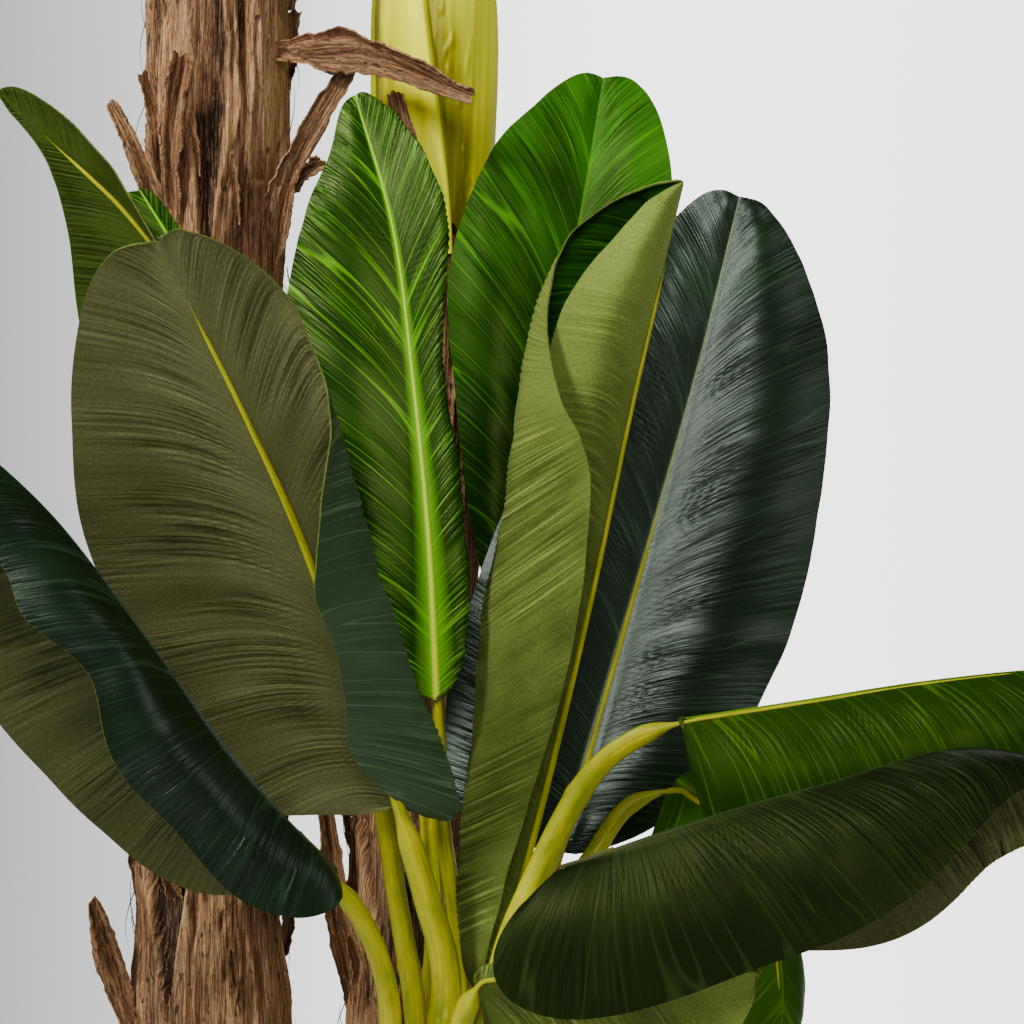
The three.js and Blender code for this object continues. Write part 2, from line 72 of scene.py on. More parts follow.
def new_material(name, roughness, specular=0.5, tint=(1, 1, 1), coat=0.0, sheen=0.0, depth=0.0):
    """A material with a Principled shader; depth is the share of light that goes in and out again."""
    material = bpy.data.materials.new(name)
    material.use_nodes = True
    values = {
        "Roughness": roughness, "Specular IOR Level": specular, "Specular Tint": (*tint, 1),
        "Coat Weight": coat, "Coat Roughness": COAT_ROUGHNESS, "Sheen Weight": sheen,
        "Subsurface Weight": depth, "Subsurface Radius": LIGHT_REACH,
    }
    for socket, value in values.items():
        material.node_tree.nodes["Principled BSDF"].inputs[socket].default_value = value
    return material


def set_input(socket, value):
    """Joins a socket to another one, or sets its number or colour."""
    if isinstance(value, bpy.types.NodeSocket):
        socket.id_data.links.new(value, socket)
    else:
        socket.default_value = (*value, 1) if socket.type == "RGBA" else value


def node(tree, kind, **inputs):
    """A new node with its inputs set to numbers or joined to other nodes' outputs."""
    made = tree.nodes.new(kind)
    for name, value in inputs.items():
        key = int(name[1:]) if name[0] == "_" else name.replace("_", " ")
        set_input(made.inputs[key], value)
    return made


def tree_of(*values):
    """The node tree of the first socket among these values."""
    return next(value.id_data for value in values if isinstance(value, bpy.types.NodeSocket))


def object_place(material):
    """The place of a point on its piece."""
    return node(material.node_tree, "ShaderNodeTexCoord").outputs["Object"]


def uv_place(material, name):
    """The place of a point in one of its piece's UV maps."""
    made = node(material.node_tree, "ShaderNodeUVMap")
    made.uv_map = name
    return made.outputs[0]


def kept(material, name, output):
    """The number or the vector that a piece keeps for its points under this name."""
    made = node(material.node_tree, "ShaderNodeAttribute")
    made.attribute_name = name
    return made.outputs[output]


def pattern(place, stretch, detail=3.0, roughness=0.55):
    """Noise from 0 to 1 that repeats more often along the axes with a larger stretch."""
    tree = tree_of(place)
    mapping = node(tree, "ShaderNodeMapping", Vector=place, Scale=stretch)
    inputs = dict(Vector=mapping.outputs[0], Detail=detail, Roughness=roughness, Scale=1.0)
    return node(tree, "ShaderNodeTexNoise", **inputs).outputs[0]


def ramp(factor, *stops):
    """Colours or grey values along a factor; each stop is its position and its colour."""
    made = node(tree_of(factor), "ShaderNodeValToRGB", _0=factor)
    elements = made.color_ramp.elements
    while len(elements) < len(stops):
        elements.new(0.5)
    for element, (position, colour) in zip(elements, stops):
        element.position = position
        element.color = (*colour, 1) if isinstance(colour, tuple) else (colour, colour, colour, 1)
    return made.outputs[0]


def mix(factor, first, second, how="MIX"):
    """Two colours mixed by a factor."""
    made = node(tree_of(factor, first, second), "ShaderNodeMix")
    made.data_type = "RGBA"
    made.blend_type = how
    for k, value in ((0, factor), (6, first), (7, second)):
        set_input(made.inputs[k], value)
    return made.outputs[2]


def blend(colour, over, factor, *stops):
    """A colour with another one laid over it, as strongly as the stops along a factor say."""
    return mix(ramp(factor, *stops), colour, over)


def maths(operation, first, second=0.0, third=0.0):
    """One step of arithmetic on numbers or sockets."""
    made = node(tree_of(first, second, third), "ShaderNodeMath", _0=first, _1=second, _2=third)
    made.operation = operation
    return made.outputs[0]


def finish(material, colour, *bumps):
    """Joins a colour and a chain of bumps, each (height, depth in metres), to the shader."""
    shader = material.node_tree.nodes["Principled BSDF"]
    set_input(shader.inputs["Base Color"], colour)
    normal = None
    for height, depth in bumps:
        made = node(material.node_tree, "ShaderNodeBump", Height=height, Distance=depth, Strength=1.0)
        if normal:
            set_input(made.inputs["Normal"], normal)
        normal = made.outputs[0]
    if normal:
        set_input(shader.inputs["Normal"], normal)
    return material


# %% [markdown]
# ## Studio and light
# The backdrop in the photograph is a pale wall that is brightest behind the plant and falls off
# to the left. The room in front of it is dim, so that the coated leaves stay deep green and only
# show the softboxes. A wall could be modelled, but it would hide the plant from behind. A sky
# colour that depends on the direction gives both. The floor is small, so that it stays out of
# the photograph's view.

# %% Floor
FLOOR_SIZE = 5.2
bpy.ops.mesh.primitive_plane_add(size=FLOOR_SIZE)
floor = bpy.context.object
floor.name = "studio_floor"
pale_floor = new_material("pale_floor", 0.6)
grain = pattern(object_place(pale_floor), (3, 3, 3))
finish(pale_floor, ramp(grain, (0.3, (0.62, 0.62, 0.62)), (0.7, (0.68, 0.68, 0.67))))
floor.data.materials.append(pale_floor)

# %% Surroundings
world = bpy.data.worlds.new("studio")
bpy.context.scene.world = world
world.use_nodes = True
sky = world.node_tree
direction = node(sky, "ShaderNodeTexCoord").outputs["Generated"]
split = node(sky, "ShaderNodeSeparateXYZ", _0=direction)


def sky_curve(axis, low, high, stops):
    """Brightness along one axis of the direction, from low to high."""
    share = node(sky, "ShaderNodeMapRange", Value=split.outputs[axis], From_Min=low, From_Max=high)
    made = node(sky, "ShaderNodeFloatCurve", Value=share.outputs["Result"])
    points = made.mapping.curves[0].points
    while len(points) < len(stops):
        points.new(0.5, 0.5)
    for point, place in zip(points, stops):
        point.location = place
    made.mapping.update()
    return made.outputs[0]


BACKDROP = [
    (0, 0.04), (0.13, 0.10), (0.24, 0.23), (0.38, 0.50), (0.5, 0.84),
    (0.62, 1.0), (0.72, 0.94), (0.88, 0.7), (1, 0.1),
]
BACKDROP_BRIGHTNESS = 3.25
ROOM_BRIGHTNESS = 0.15
wall = sky_curve("X", -0.3, 0.3, BACKDROP)
behind = sky_curve("Y", 0, 1, [(0, 0), (0.55, 0.1), (0.85, 1), (1, 1)])
light = maths("MULTIPLY_ADD", maths("MULTIPLY", wall, behind), BACKDROP_BRIGHTNESS, ROOM_BRIGHTNESS)
set_input(sky.nodes["Background"].inputs["Color"], light)


# %% Softboxes
def softbox(name, place, target, size, power):
    """A square area light that looks from its place at a target."""
    bpy.ops.object.light_add(type="AREA", location=place)
    lamp = bpy.context.object
    lamp.name = name
    lamp.data.size = size
    lamp.data.energy = power
    lamp.rotation_mode = "QUATERNION"
    lamp.rotation_quaternion = Vector(np.subtract(target, place)).to_track_quat("-Z", "Y")


MIDDLE_OF_VIEW = (0.1, 0, 1.0)
softbox("key_left", (-1.5, -1.3, 2.6), MIDDLE_OF_VIEW, 0.45, 84)
softbox("front_top", (0.2, -2.5, 1.95), MIDDLE_OF_VIEW, 0.8, 34)
softbox("right", (2.7, -1.0, 1.5), MIDDLE_OF_VIEW, 1.3, 9)
softbox("front_left", (-2.3, -2.3, 0.9), MIDDLE_OF_VIEW, 1.2, 20)

# %% [markdown]
# ## Smooth curves and lists
# A leaf or a trunk is told by a few points and widths. We need a smooth curve through points,
# evenly spaced along its length, and a smooth value between the numbers of a list. Both are
# the same rules that shaped the solids, so that our fine meshes lie right on them.


# %% A curve through points
def curve(points, shares, per_span=24):
    """Points at these shares of the length of smooth curves through (..., n, 3) points."""
    p = np.asarray(points, float)
    first = 2 * p[..., :1, :] - p[..., 1:2, :]
    last = 2 * p[..., -1:, :] - p[..., -2:-1, :]
    p = np.concatenate([first, p, last], axis=-2)
    knots = np.sqrt(np.linalg.norm(np.diff(p, axis=-2), axis=-1, keepdims=True))
    t = np.arange(per_span)[:, None] / per_span
    dense = []
    for i in range(p.shape[-2] - 3):
        a, b, c, d = (p[..., i + k, :] for k in range(4))
        before, here, after = (knots[..., i + k, :] for k in range(3))
        leave = ((b - a) / before - (c - a) / (before + here) + (c - b) / here) * here
        reach = ((c - b) / here - (d - b) / (here + after) + (d - c) / after) * here
        square, cube = -3 * b + 3 * c - 2 * leave - reach, 2 * b - 2 * c + leave + reach
        span = [v[..., None, :] for v in (b, leave, square, cube)]
        dense.append(span[0] + span[1] * t + span[2] * t**2 + span[3] * t**3)
    dense = np.concatenate([*dense, p[..., -2:-1, :]], axis=-2)
    steps = np.linalg.norm(np.diff(dense, axis=-2), axis=-1)
    length = np.concatenate([np.zeros((*steps.shape[:-1], 1)), np.cumsum(steps, axis=-1)], axis=-1)
    flat_dense, flat_length = dense.reshape(-1, *dense.shape[-2:]), length.reshape(-1, length.shape[-1])
    out = [
        np.stack([np.interp(np.asarray(shares) * along[-1], along, line[:, k]) for k in range(3)], axis=-1)
        for line, along in zip(flat_dense, flat_length)
    ]
    return np.reshape(out, (*p.shape[:-2], len(shares), 3))


def unit(vectors):
    """The same directions, each one long."""
    return vectors / np.linalg.norm(vectors, axis=-1, keepdims=True)


def spread(values, shares):
    """Smooth values at these shares of a list that is spread evenly from 0 to 1."""
    v = np.asarray(values, float)
    if len(v) == 1:
        return np.full(np.shape(shares), v[0])
    x = np.clip(shares, 0, 1) * (len(v) - 1)
    i = np.minimum(x.astype(int), len(v) - 2)
    f = x - i
    padded = np.concatenate([v[:1], v, v[-1:]])
    slope = (padded[2:] - padded[:-2]) / 2
    return (
        (2 * f**3 - 3 * f**2 + 1) * v[i]
        + (f**3 - 2 * f**2 + f) * slope[i]
        + (3 * f**2 - 2 * f**3) * v[i + 1]
        + (f**3 - f**2) * slope[i + 1]
    )


def smoothstep(low, high, x):
    """0 below low, 1 above high, and a soft step between."""
    t = np.clip((x - low) / (high - low), 0, 1)
    return t * t * (3 - 2 * t)


def bell(x, width):
    """1 at nought, falling off softly within about one width."""
    return np.exp(-((x / width) ** 2))


def ripples(*coordinates):
    """Smooth noise, about -0.8 to 0.8, with features about one unit apart."""
    places = np.stack(np.broadcast_arrays(*coordinates), axis=-1)
    values = [noise.noise(place) for place in places.reshape(-1, 3).tolist()]
    return np.reshape(values, places.shape[:-1])


# %% [markdown]
# ## Laying a sheet on points
# A leaf blade is a sheet of cloth, and a stalk or a trunk is a sheet that is rolled up until
# its two edges meet. They could be bent from flat sheets with modifiers, but then the rows
# wouldn't run along the veins, and no pleat could follow them. So both start as Blender's grid
# primitive with as many rows and columns as we have points, and each vertex is put on its
# point. The rolled ones get their seam merged and their two ends filled.


# %% Grid to surface
SAME_POINT = 1e-6


def weld():
    """Merges the seam of the sheet in hand, which is rolled, and closes its two ends."""
    bpy.ops.object.mode_set(mode="EDIT")
    bpy.ops.mesh.select_all(action="SELECT")
    bpy.ops.mesh.remove_doubles(threshold=SAME_POINT)
    bpy.ops.mesh.select_all(action="DESELECT")
    bpy.ops.mesh.select_non_manifold()
    bpy.ops.mesh.fill_holes(sides=0)
    bpy.ops.object.mode_set(mode="OBJECT")


def lay_sheet(name, points, uv=None, share=None, rolled=False):
    """A grid of (rows, columns, 3) points as a mesh, with UV maps of the same layout."""
    rows, columns = points.shape[:2]
    bpy.ops.object.select_all(action="DESELECT")
    bpy.ops.mesh.primitive_grid_add(x_subdivisions=columns - 1, y_subdivisions=rows - 1)
    made = bpy.context.object
    made.name = name
    mesh = made.data
    mesh.vertices.foreach_set("co", points.reshape(-1))
    corner = np.empty(len(mesh.loops), int)
    mesh.loops.foreach_get("vertex_index", corner)
    for layer, values in (("UVMap", uv), ("Share", share)):
        if values is not None:
            target = mesh.uv_layers.get(layer) or mesh.uv_layers.new(name=layer)
            target.data.foreach_set("uv", values.reshape(-1, 2)[corner].reshape(-1))
    if rolled:
        weld()
    mesh.update()
    return made


def keep_values(piece, name, values):
    """Keeps a number or a vector for each vertex as an attribute that a finish can read."""
    values = np.asarray(values, float)
    vectors = values.ndim == 3
    attribute = piece.data.attributes.new(name, "FLOAT_VECTOR" if vectors else "FLOAT", "POINT")
    if not vectors and values.size != len(piece.data.vertices):
        values = np.repeat(values, len(piece.data.vertices) // values.size)
    attribute.data.foreach_set("vector" if vectors else "value", values.reshape(-1))


def thicken(piece, thickness, top, under, rim):
    """Gives a sheet its thickness below, and each of its sides its material."""
    for material in (top, under, rim):
        piece.data.materials.append(material)
    bpy.ops.object.modifier_add(type="SOLIDIFY")
    solidify = piece.modifiers[-1]
    solidify.thickness = thickness
    solidify.offset = -1
    solidify.material_offset = 1
    solidify.material_offset_rim = 2
    bpy.ops.object.modifier_apply(modifier=solidify.name)


def dress(piece, slot, *materials, nodes=(), sharp=50):
    """Gives a finished piece its materials, its shading and its place on the plant."""
    for material in materials:
        piece.data.materials.append(material)
    bpy.ops.object.shade_smooth_by_angle(angle=math.radians(sharp))
    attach(piece, "root")
    if nodes:
        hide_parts(*nodes)
    return piece


# %% [markdown]
# ## The finish of the leaves
# The cloth is printed and coated. Its top shines softly, its underside shows the bare weave,
# and both have fine pleats that leave the midrib steeply and bend outwards to the margin. The
# UV map holds the metres from the midrib and the metres along it where the vein started, so a
# noise that is long one way and narrow the other runs along the veins. A painted picture could
# do this too, but it would blur close up. An attribute called "pleats" says where the pleats
# are deep, so that the shading agrees with the mesh.

# %% Pleats of a leaf
PLEAT = 300  # fine pleats repeat about this often in a metre


def leaf_places(material):
    """The vein coordinates, the distance from the midrib, the share of the length and the pleats."""
    metres, share = uv_place(material, "UVMap"), uv_place(material, "Share")
    across = node(material.node_tree, "ShaderNodeSeparateXYZ", _0=metres).outputs["X"]
    along = node(material.node_tree, "ShaderNodeSeparateXYZ", _0=share).outputs["Y"]
    return metres, maths("ABSOLUTE", across), along, kept(material, "pleats", "Fac")


def fine_pleats(metres, pleats):
    """The height of the fine pleats, deep only where the mesh is pleated."""
    waves = pattern(metres, (7, PLEAT, 1), 1.5, 0.6)
    depth = maths("MULTIPLY_ADD", pleats, 0.85, 0.15)
    centred = maths("SUBTRACT", waves, 0.5)
    return maths("MULTIPLY", centred, depth)


def beside_midrib(distance, along, half_width, strength):
    """A factor that is strongest on the midrib and gone beyond a width that narrows to the tip."""
    width = maths("MULTIPLY", maths("SUBTRACT", 1.08, along), half_width)
    return ramp(maths("DIVIDE", distance, width), (0.15, strength), (1.0, 0.0))


def leaf_top(name, colours, midrib, roughness, specular, tint, base_shade=(0.2, 0.05, 0.6)):
    """Coated cloth from its shade, body and light colours and its midrib's colour and widths, with painted
    shade in the pleat grooves and towards the base, a painted highlight on the pleat crests and a painted
    sheen beside the midrib.
    """
    shade, body, light = colours
    line_colour, line_width, sheen_width, midrib_sheen = midrib
    strength, low, high = base_shade
    material = new_material(name, roughness, specular, tint)
    metres, distance, along, pleats = leaf_places(material)
    waves = fine_pleats(metres, pleats)
    clouds = pattern(metres, (10, 14, 1), 2)
    lines = pattern(metres, (2.5, 42, 1), 1)
    cloth = pattern(metres, (900, 900, 1), 2)
    # the colour follows the pleat height: painted shade in the grooves, a painted highlight on the crests
    tone = maths("MULTIPLY_ADD", waves, 1.6, 0.5)
    colour = ramp(tone, (0.2, shade), (0.55, body), (1.0, light))
    colour = blend(colour, shade, clouds, (0.38, 0.75), (0.62, 0.0))
    # painted shade towards the base of the blade, as strong as base_shade says
    colour = blend(colour, shade, along, (low, strength), (high, 0.0))
    colour = blend(colour, light, lines, (0.488, 0.0), (0.5, 0.75), (0.512, 0.0))
    # a painted sheen beside the midrib, in the light colour
    colour = mix(beside_midrib(distance, along, sheen_width, midrib_sheen), colour, light)
    colour = mix(beside_midrib(distance, along, line_width, 1.0), colour, line_colour)
    return finish(material, colour, (waves, 0.0022), (cloth, 0.00010))


def leaf_under(name, dark, body, light, tip=0.0):
    """Bare weave: threads both ways, soft painted shade in the grooves between the pleats, a painted
    highlight on their crests, and painted light towards the tip.
    """
    material = new_material(name, 0.8, 0.2, (1, 1, 0.5))
    metres, distance, along, pleats = leaf_places(material)
    waves = fine_pleats(metres, pleats)
    clouds = pattern(metres, (16, 24, 1), 3)
    weft = pattern(metres, (300, 1400, 1), 2)
    warp = pattern(metres, (1400, 300, 1), 2)
    weave = maths("MULTIPLY", weft, warp)
    tone = maths("MULTIPLY_ADD", waves, 2.0, 0.5)
    # the colour follows the pleat height: painted shade in the grooves, a painted highlight on the crests
    colour = ramp(tone, (0.26, dark), (0.55, body), (0.9, light))
    colour = blend(colour, light, clouds, (0.35, 0.0), (0.7, 0.35))
    # painted light towards the tip, as strong as tip says
    colour = blend(colour, light, along, (0.6, 0.0), (0.92, tip))
    threads = ramp(weave, (0.12, 0.58), (0.4, 1.2))
    colour = mix(1.0, colour, threads, "MULTIPLY")
    return finish(material, colour, (waves, 0.0024), (weave, 0.0004))


# %% The cloths
GREEN_SHINE, GREY_SHINE = (0.75, 1.0, 0.25), (0.85, 1.0, 0.85)
# each cloth's shade, body and light colours; its midrib's line colour, line width, painted sheen width and
# painted sheen strength; roughness, shine and shine tint; and, where given, the painted shade towards the
# base: its strength and the shares of the length where it is full and where it is gone
TOP_VALUES = {
    "bright": (
        [(0.001, 0.016, 0.0), (0.005, 0.038, 0.0), (0.105, 0.35, 0.0)],
        [(0.55, 0.66, 0.03), 0.0034, 0.017, 0.85], 0.34, 0.22, GREEN_SHINE,
    ),
    "deep": (
        [(0.001, 0.022, 0.0), (0.022, 0.145, 0.0), (0.06, 0.26, 0.0)],
        [(0.05, 0.26, 0.0), 0.0022, 0.006, 0.4], 0.38, 0.16, GREEN_SHINE, (0.95, 0.3, 0.8),
    ),
    "grass": (
        [(0.012, 0.060, 0.0), (0.036, 0.125, 0.0), (0.09, 0.24, 0.0)],
        [(0.10, 0.22, 0.0), 0.0022, 0.006, 0.4], 0.42, 0.2, GREEN_SHINE,
    ),
    # the grass cloth darkened: painted shade
    "moss": (
        [(0.005, 0.022, 0.0), (0.010, 0.036, 0.0), (0.05, 0.13, 0.0)],
        [(0.10, 0.22, 0.0), 0.0022, 0.006, 0.4], 0.42, 0.14, GREEN_SHINE,
    ),
    "ribbed": (
        [(0.002, 0.008, 0.002), (0.007, 0.021, 0.006), (0.030, 0.066, 0.028)],
        [(0.20, 0.27, 0.02), 0.0042, 0.007, 0.3], 0.28, 0.5, GREY_SHINE,
    ),
    "dark": (
        [(0.002, 0.008, 0.002), (0.006, 0.019, 0.006), (0.020, 0.050, 0.022)],
        [(0.012, 0.035, 0.02), 0.002, 0.004, 0.3], 0.28, 0.35, GREY_SHINE,
    ),
    "teal": (
        [(0.014, 0.036, 0.010), (0.028, 0.062, 0.018), (0.080, 0.135, 0.060)],
        [(0.012, 0.035, 0.02), 0.002, 0.004, 0.3], 0.36, 0.35, GREY_SHINE, (0.0, 0.05, 0.6),
    ),
    "matte": (
        [(0.002, 0.005, 0.001), (0.006, 0.012, 0.002), (0.016, 0.030, 0.006)],
        [(0.012, 0.035, 0.01), 0.002, 0.004, 0.3], 0.46, 0.12, GREEN_SHINE, (0.0, 0.05, 0.6),
    ),
}
# each underside's dark, body and light colours, and where given the strength of the painted light towards the
# tip
UNDER_VALUES = {
    "olive": ((0.032, 0.034, 0.008), (0.090, 0.096, 0.032), (0.145, 0.155, 0.058)),
    "shaded": ((0.018, 0.020, 0.005), (0.047, 0.053, 0.016), (0.078, 0.088, 0.030)),
    "pale": ((0.030, 0.044, 0.003), (0.072, 0.100, 0.014), (0.225, 0.300, 0.055), 0.9),
    "green": ((0.014, 0.030, 0.001), (0.031, 0.056, 0.004), (0.055, 0.095, 0.012)),
}
TOPS = {name: leaf_top(f"leaf_top_{name}", *values) for name, values in TOP_VALUES.items()}
UNDERS = {name: leaf_under(f"leaf_under_{name}", *values) for name, values in UNDER_VALUES.items()}
margin = new_material("leaf_margin", 0.7, specular=0.2)
fray = pattern(object_place(margin), (300, 300, 300))
finish(margin, ramp(fray, (0.3, (0.05, 0.07, 0.006)), (0.7, (0.12, 0.14, 0.02))))
print("leaf finishes", sorted(TOPS), sorted(UNDERS))

# %% [markdown]
# The stalks and midribs are cast in soft yellow-green plastic. It is smooth with a satin
# shine, a little greener in patches, and has fine lines along its length.

# %% Stalk finish
stalk_plastic = new_material("stalk_plastic", 0.36, tint=(1, 1, 0.3), coat=0.1, depth=0.12)
place = uv_place(stalk_plastic, "UVMap")
lines = pattern(place, (14, 6, 1), 3)
patches = pattern(place, (2.5, 22, 1), 3)
tint = ramp(patches, (0.3, (0.20, 0.25, 0.0)), (0.55, (0.46, 0.42, 0.0)), (0.8, (0.58, 0.54, 0.002)))
tint = blend(tint, (0.17, 0.22, 0.0), lines, (0.4, 0.0), (0.7, 0.45))
finish(stalk_plastic, tint, (lines, 0.0006))

# %% [markdown]
# ## The rule of a leaf
# Each half of a blade is a chain of strips from the midrib outwards. A strip has its widths at
# even stations, its lift above the flat in degrees, and its slant, which is how far a vein runs
# towards the tip. The rows of the sheet are the veins. We first lay a coarse blade, to learn
# how far apart its rows lie, and then choose rows that are evenly spaced along the leaf.

# %% Halves of a blade
SWEPT = [-0.25, 0, 0.25, 0.5, 0.6, 0.6, 0.6]
NARROWEST_HALF = 0.002


def strip(widths, lift, slant):
    """One strip of a half blade, with widths in metres and lifts in degrees."""
    return dict(widths=np.array(widths), lift=np.array(lift, float), slant=slant)


def arch(widths, lift, curl, slant=SWEPT):
    """Half a blade as one arch of two strips, from its width, its chord's lift and its curl."""
    half, lift = np.array(widths) / 2, np.array(lift, float)
    return [strip(half, lift + curl / 4, slant), strip(half, lift - curl / 4, slant)]


# %% Frames along the midrib
def rib_frames(leaf, u):
    """Places, directions, top sides and right-hand sides at shares u of the midrib."""
    step = 1e-3
    centre = curve(leaf["midrib"], u)
    ahead, behind = np.clip(u + step, 0, 1), np.clip(u - step, 0, 1)
    along = unit(curve(leaf["midrib"], ahead) - curve(leaf["midrib"], behind))
    first, last = np.array(leaf["facing"][0], float), np.array(leaf["facing"][-1], float)
    up = first + (last - first) * u[:, None]
    up = unit(up - along * np.sum(up * along, axis=-1, keepdims=True))
    return centre, along, up, np.cross(along, up)


def half_rows(strips, side, s, frames, shares):
    """The rows of one half blade, from the midrib to the margin."""
    centre, along, up, right = frames
    station = (8 * s - 1) / 6
    points = [centre]
    for part in strips:
        width = np.maximum(spread([0, *part["widths"], 0], s), NARROWEST_HALF / len(strips))
        angle = np.radians(spread(part["lift"], station))
        slant = spread(part["slant"], station)
        step = [side * width * np.cos(angle), width * np.sin(angle), width * slant]
        points.append(points[-1] + sum(v[:, None] * axis for v, axis in zip(step, (right, up, along))))
    return curve(np.stack(points, axis=1), shares)


def blade_rows(leaf, s, shares):
    """A blade's smooth middle surface, from the left margin to the right margin."""
    frames = rib_frames(leaf, (1 - np.cos(np.pi * s)) / 2)
    left = half_rows(leaf["left"], -1, s, frames, shares)
    right = half_rows(leaf["right"], 1, s, frames, shares)
    return np.concatenate([left[:, ::-1], right[:, 1:]], axis=1)


# %% [markdown]
# Seen close up, a leaf isn't smooth. Groups of fine pleats are pressed into it along the
# veins, each group on a soft swelling, and the margin waves a little. We add them as real height
# on the sheet, so that they catch the light and show in the mesh. The pleats begin a little way
# from the midrib, where the cloth stays flat, and end before the margin.

# %% Blades
CLOTH_THICKNESS = 0.0013
VEINS = dict(
    pleat=0.0013, pleat_spacing=0.0054, swell=0.0022, swell_spacing=0.026, wave=0.0035, wave_spacing=0.09
)
SWEEP = dict(reach=0.030, bend=0.032, lean=0.12)
RIDGE = dict(half=0.004, height=0.0018, groove=0.0022, groove_width=2.6)
COARSE_ROWS = 81


def vein_start(distance, along):
    """Where along the midrib the vein through a point started: steep at first, then outwards."""
    return along - SWEEP["reach"] * (1 - np.exp(-distance / SWEEP["bend"])) - SWEEP["lean"] * distance


def vein_relief(share, distance, vein, side, veins):
    """The height of a blade's relief, and how deeply it is pleated, from 0 to 1."""
    seed = 7.3 * side + vein[0, 0] * 90
    pleated = smoothstep(-0.28, 0.22, ripples(distance / 0.09, vein / 0.034, seed + 5))
    pleated = pleated * smoothstep(0.05, 0.36, share) * (1 - 0.8 * smoothstep(0.86, 0.98, share))
    shift = ripples(distance / 0.07, vein / 0.03, seed)
    pleat = np.cos(2 * np.pi * vein / veins["pleat_spacing"] + 5 * shift)
    swell = ripples(distance / 0.1, vein / veins["swell_spacing"], seed + 3)
    wave = ripples(share * 1.2 + seed, vein / veins["wave_spacing"], seed + 9)
    height = veins["pleat"] * pleated * pleat / 2 + veins["swell"] * swell * smoothstep(0.1, 0.35, share)
    return height + veins["wave"] * wave * smoothstep(0.2, 1.0, share), pleated


def make_blade(leaf, top, under, slot, row_step, columns, veins=VEINS):
    """The finished cloth of one leaf."""
    shares = np.linspace(0, 1, columns + 1) ** 1.5
    coarse = blade_rows(leaf, np.linspace(0, 1, COARSE_ROWS), shares)
    tracks = coarse[:, [0, columns // 2, columns, -1 - columns // 2, -1]]
    steps = np.linalg.norm(np.diff(tracks, axis=0), axis=-1).mean(axis=1)
    reached = np.concatenate([[0], np.cumsum(steps)])
    along = np.linspace(0, reached[-1], int(reached[-1] / row_step))
    rows = blade_rows(leaf, np.interp(along, reached, np.linspace(0, 1, COARSE_ROWS)), shares)

    out = np.concatenate([shares[::-1], shares[1:]])[None]
    side = np.where(np.arange(out.size) < columns, -1, 1)[None]
    widths = np.linalg.norm(np.diff(rows, axis=1), axis=-1)
    metres = np.concatenate([np.zeros((len(rows), 1)), np.cumsum(widths, axis=1)], axis=1)
    metres -= metres[:, columns : columns + 1]
    vein = vein_start(np.abs(metres), along[:, None])
    normal = unit(np.cross(np.gradient(rows, axis=1), np.gradient(rows, axis=0)))
    relief, pleated = vein_relief(out, np.abs(metres), vein, side, veins)
    narrowing = 1.1 - along[:, None] / along[-1]
    beside = metres / (RIDGE["half"] * narrowing)
    ridge = RIDGE["height"] * bell(beside, 1) - RIDGE["groove"] * bell(beside, RIDGE["groove_width"])
    rows = rows + normal * (relief + ridge * narrowing)[..., None]

    uv = np.stack([metres, vein], axis=-1)
    share = np.stack(np.broadcast_arrays(out * side, along[:, None] / along[-1]), axis=-1)
    piece = lay_sheet(leaf["name"].replace("leaf", "blade"), rows, uv, share)
    keep_values(piece, "pleats", pleated)
    thicken(piece, CLOTH_THICKNESS, TOPS[top], UNDERS[under], margin)
    return dress(piece, slot, nodes=[leaf["name"]])


# %% [markdown]
# A stalk is a channel with two lips along its upper side. It runs on under the blade as the
# midrib, a half-round rod that thins towards the tip, with little rings where the moulded
# lengths were joined. A curve with a round bevel would be quicker, but it has no channel. We
# sweep a ring of points along the stalk's curve. To keep the channel on the upper side, each
# ring's upward direction is carried over from the ring beside it, starting at the blade, where
# we know it.

# %% Stalks
RIB_SHARE, RIB_TIP_RADIUS = 0.62, 0.0013
RIB_REACH = 0.9
# depths as shares of the radius, places as angles from the upper side, and lengths in metres
STALK = dict(
    channel=0.42, lip=0.10, lip_at=0.78, seam=0.05, seam_at=2.0, joint=0.12, joint_length=0.004,
    swell=0.05, swell_length=0.05,
)
JOINTS = (0.2, 0.43, 0.66, 0.8)  # shares of the whole length


def carried_up(tangents, start, up):
    """The upward directions of a path, carried from ring to ring away from one known ring."""
    ups = np.empty_like(tangents)
    ups[start] = up
    for way in (range(start - 1, -1, -1), range(start + 1, len(ups))):
        for i in way:
            known = ups[i + 1] if i < start else ups[i - 1]
            ups[i] = unit(known - tangents[i] * (known @ tangents[i]))
    return ups


def length_of(points):
    """The length of the smooth curve through some points."""
    dense = curve(points, np.linspace(0, 1, 200))
    return np.linalg.norm(np.diff(dense, axis=0), axis=1).sum()


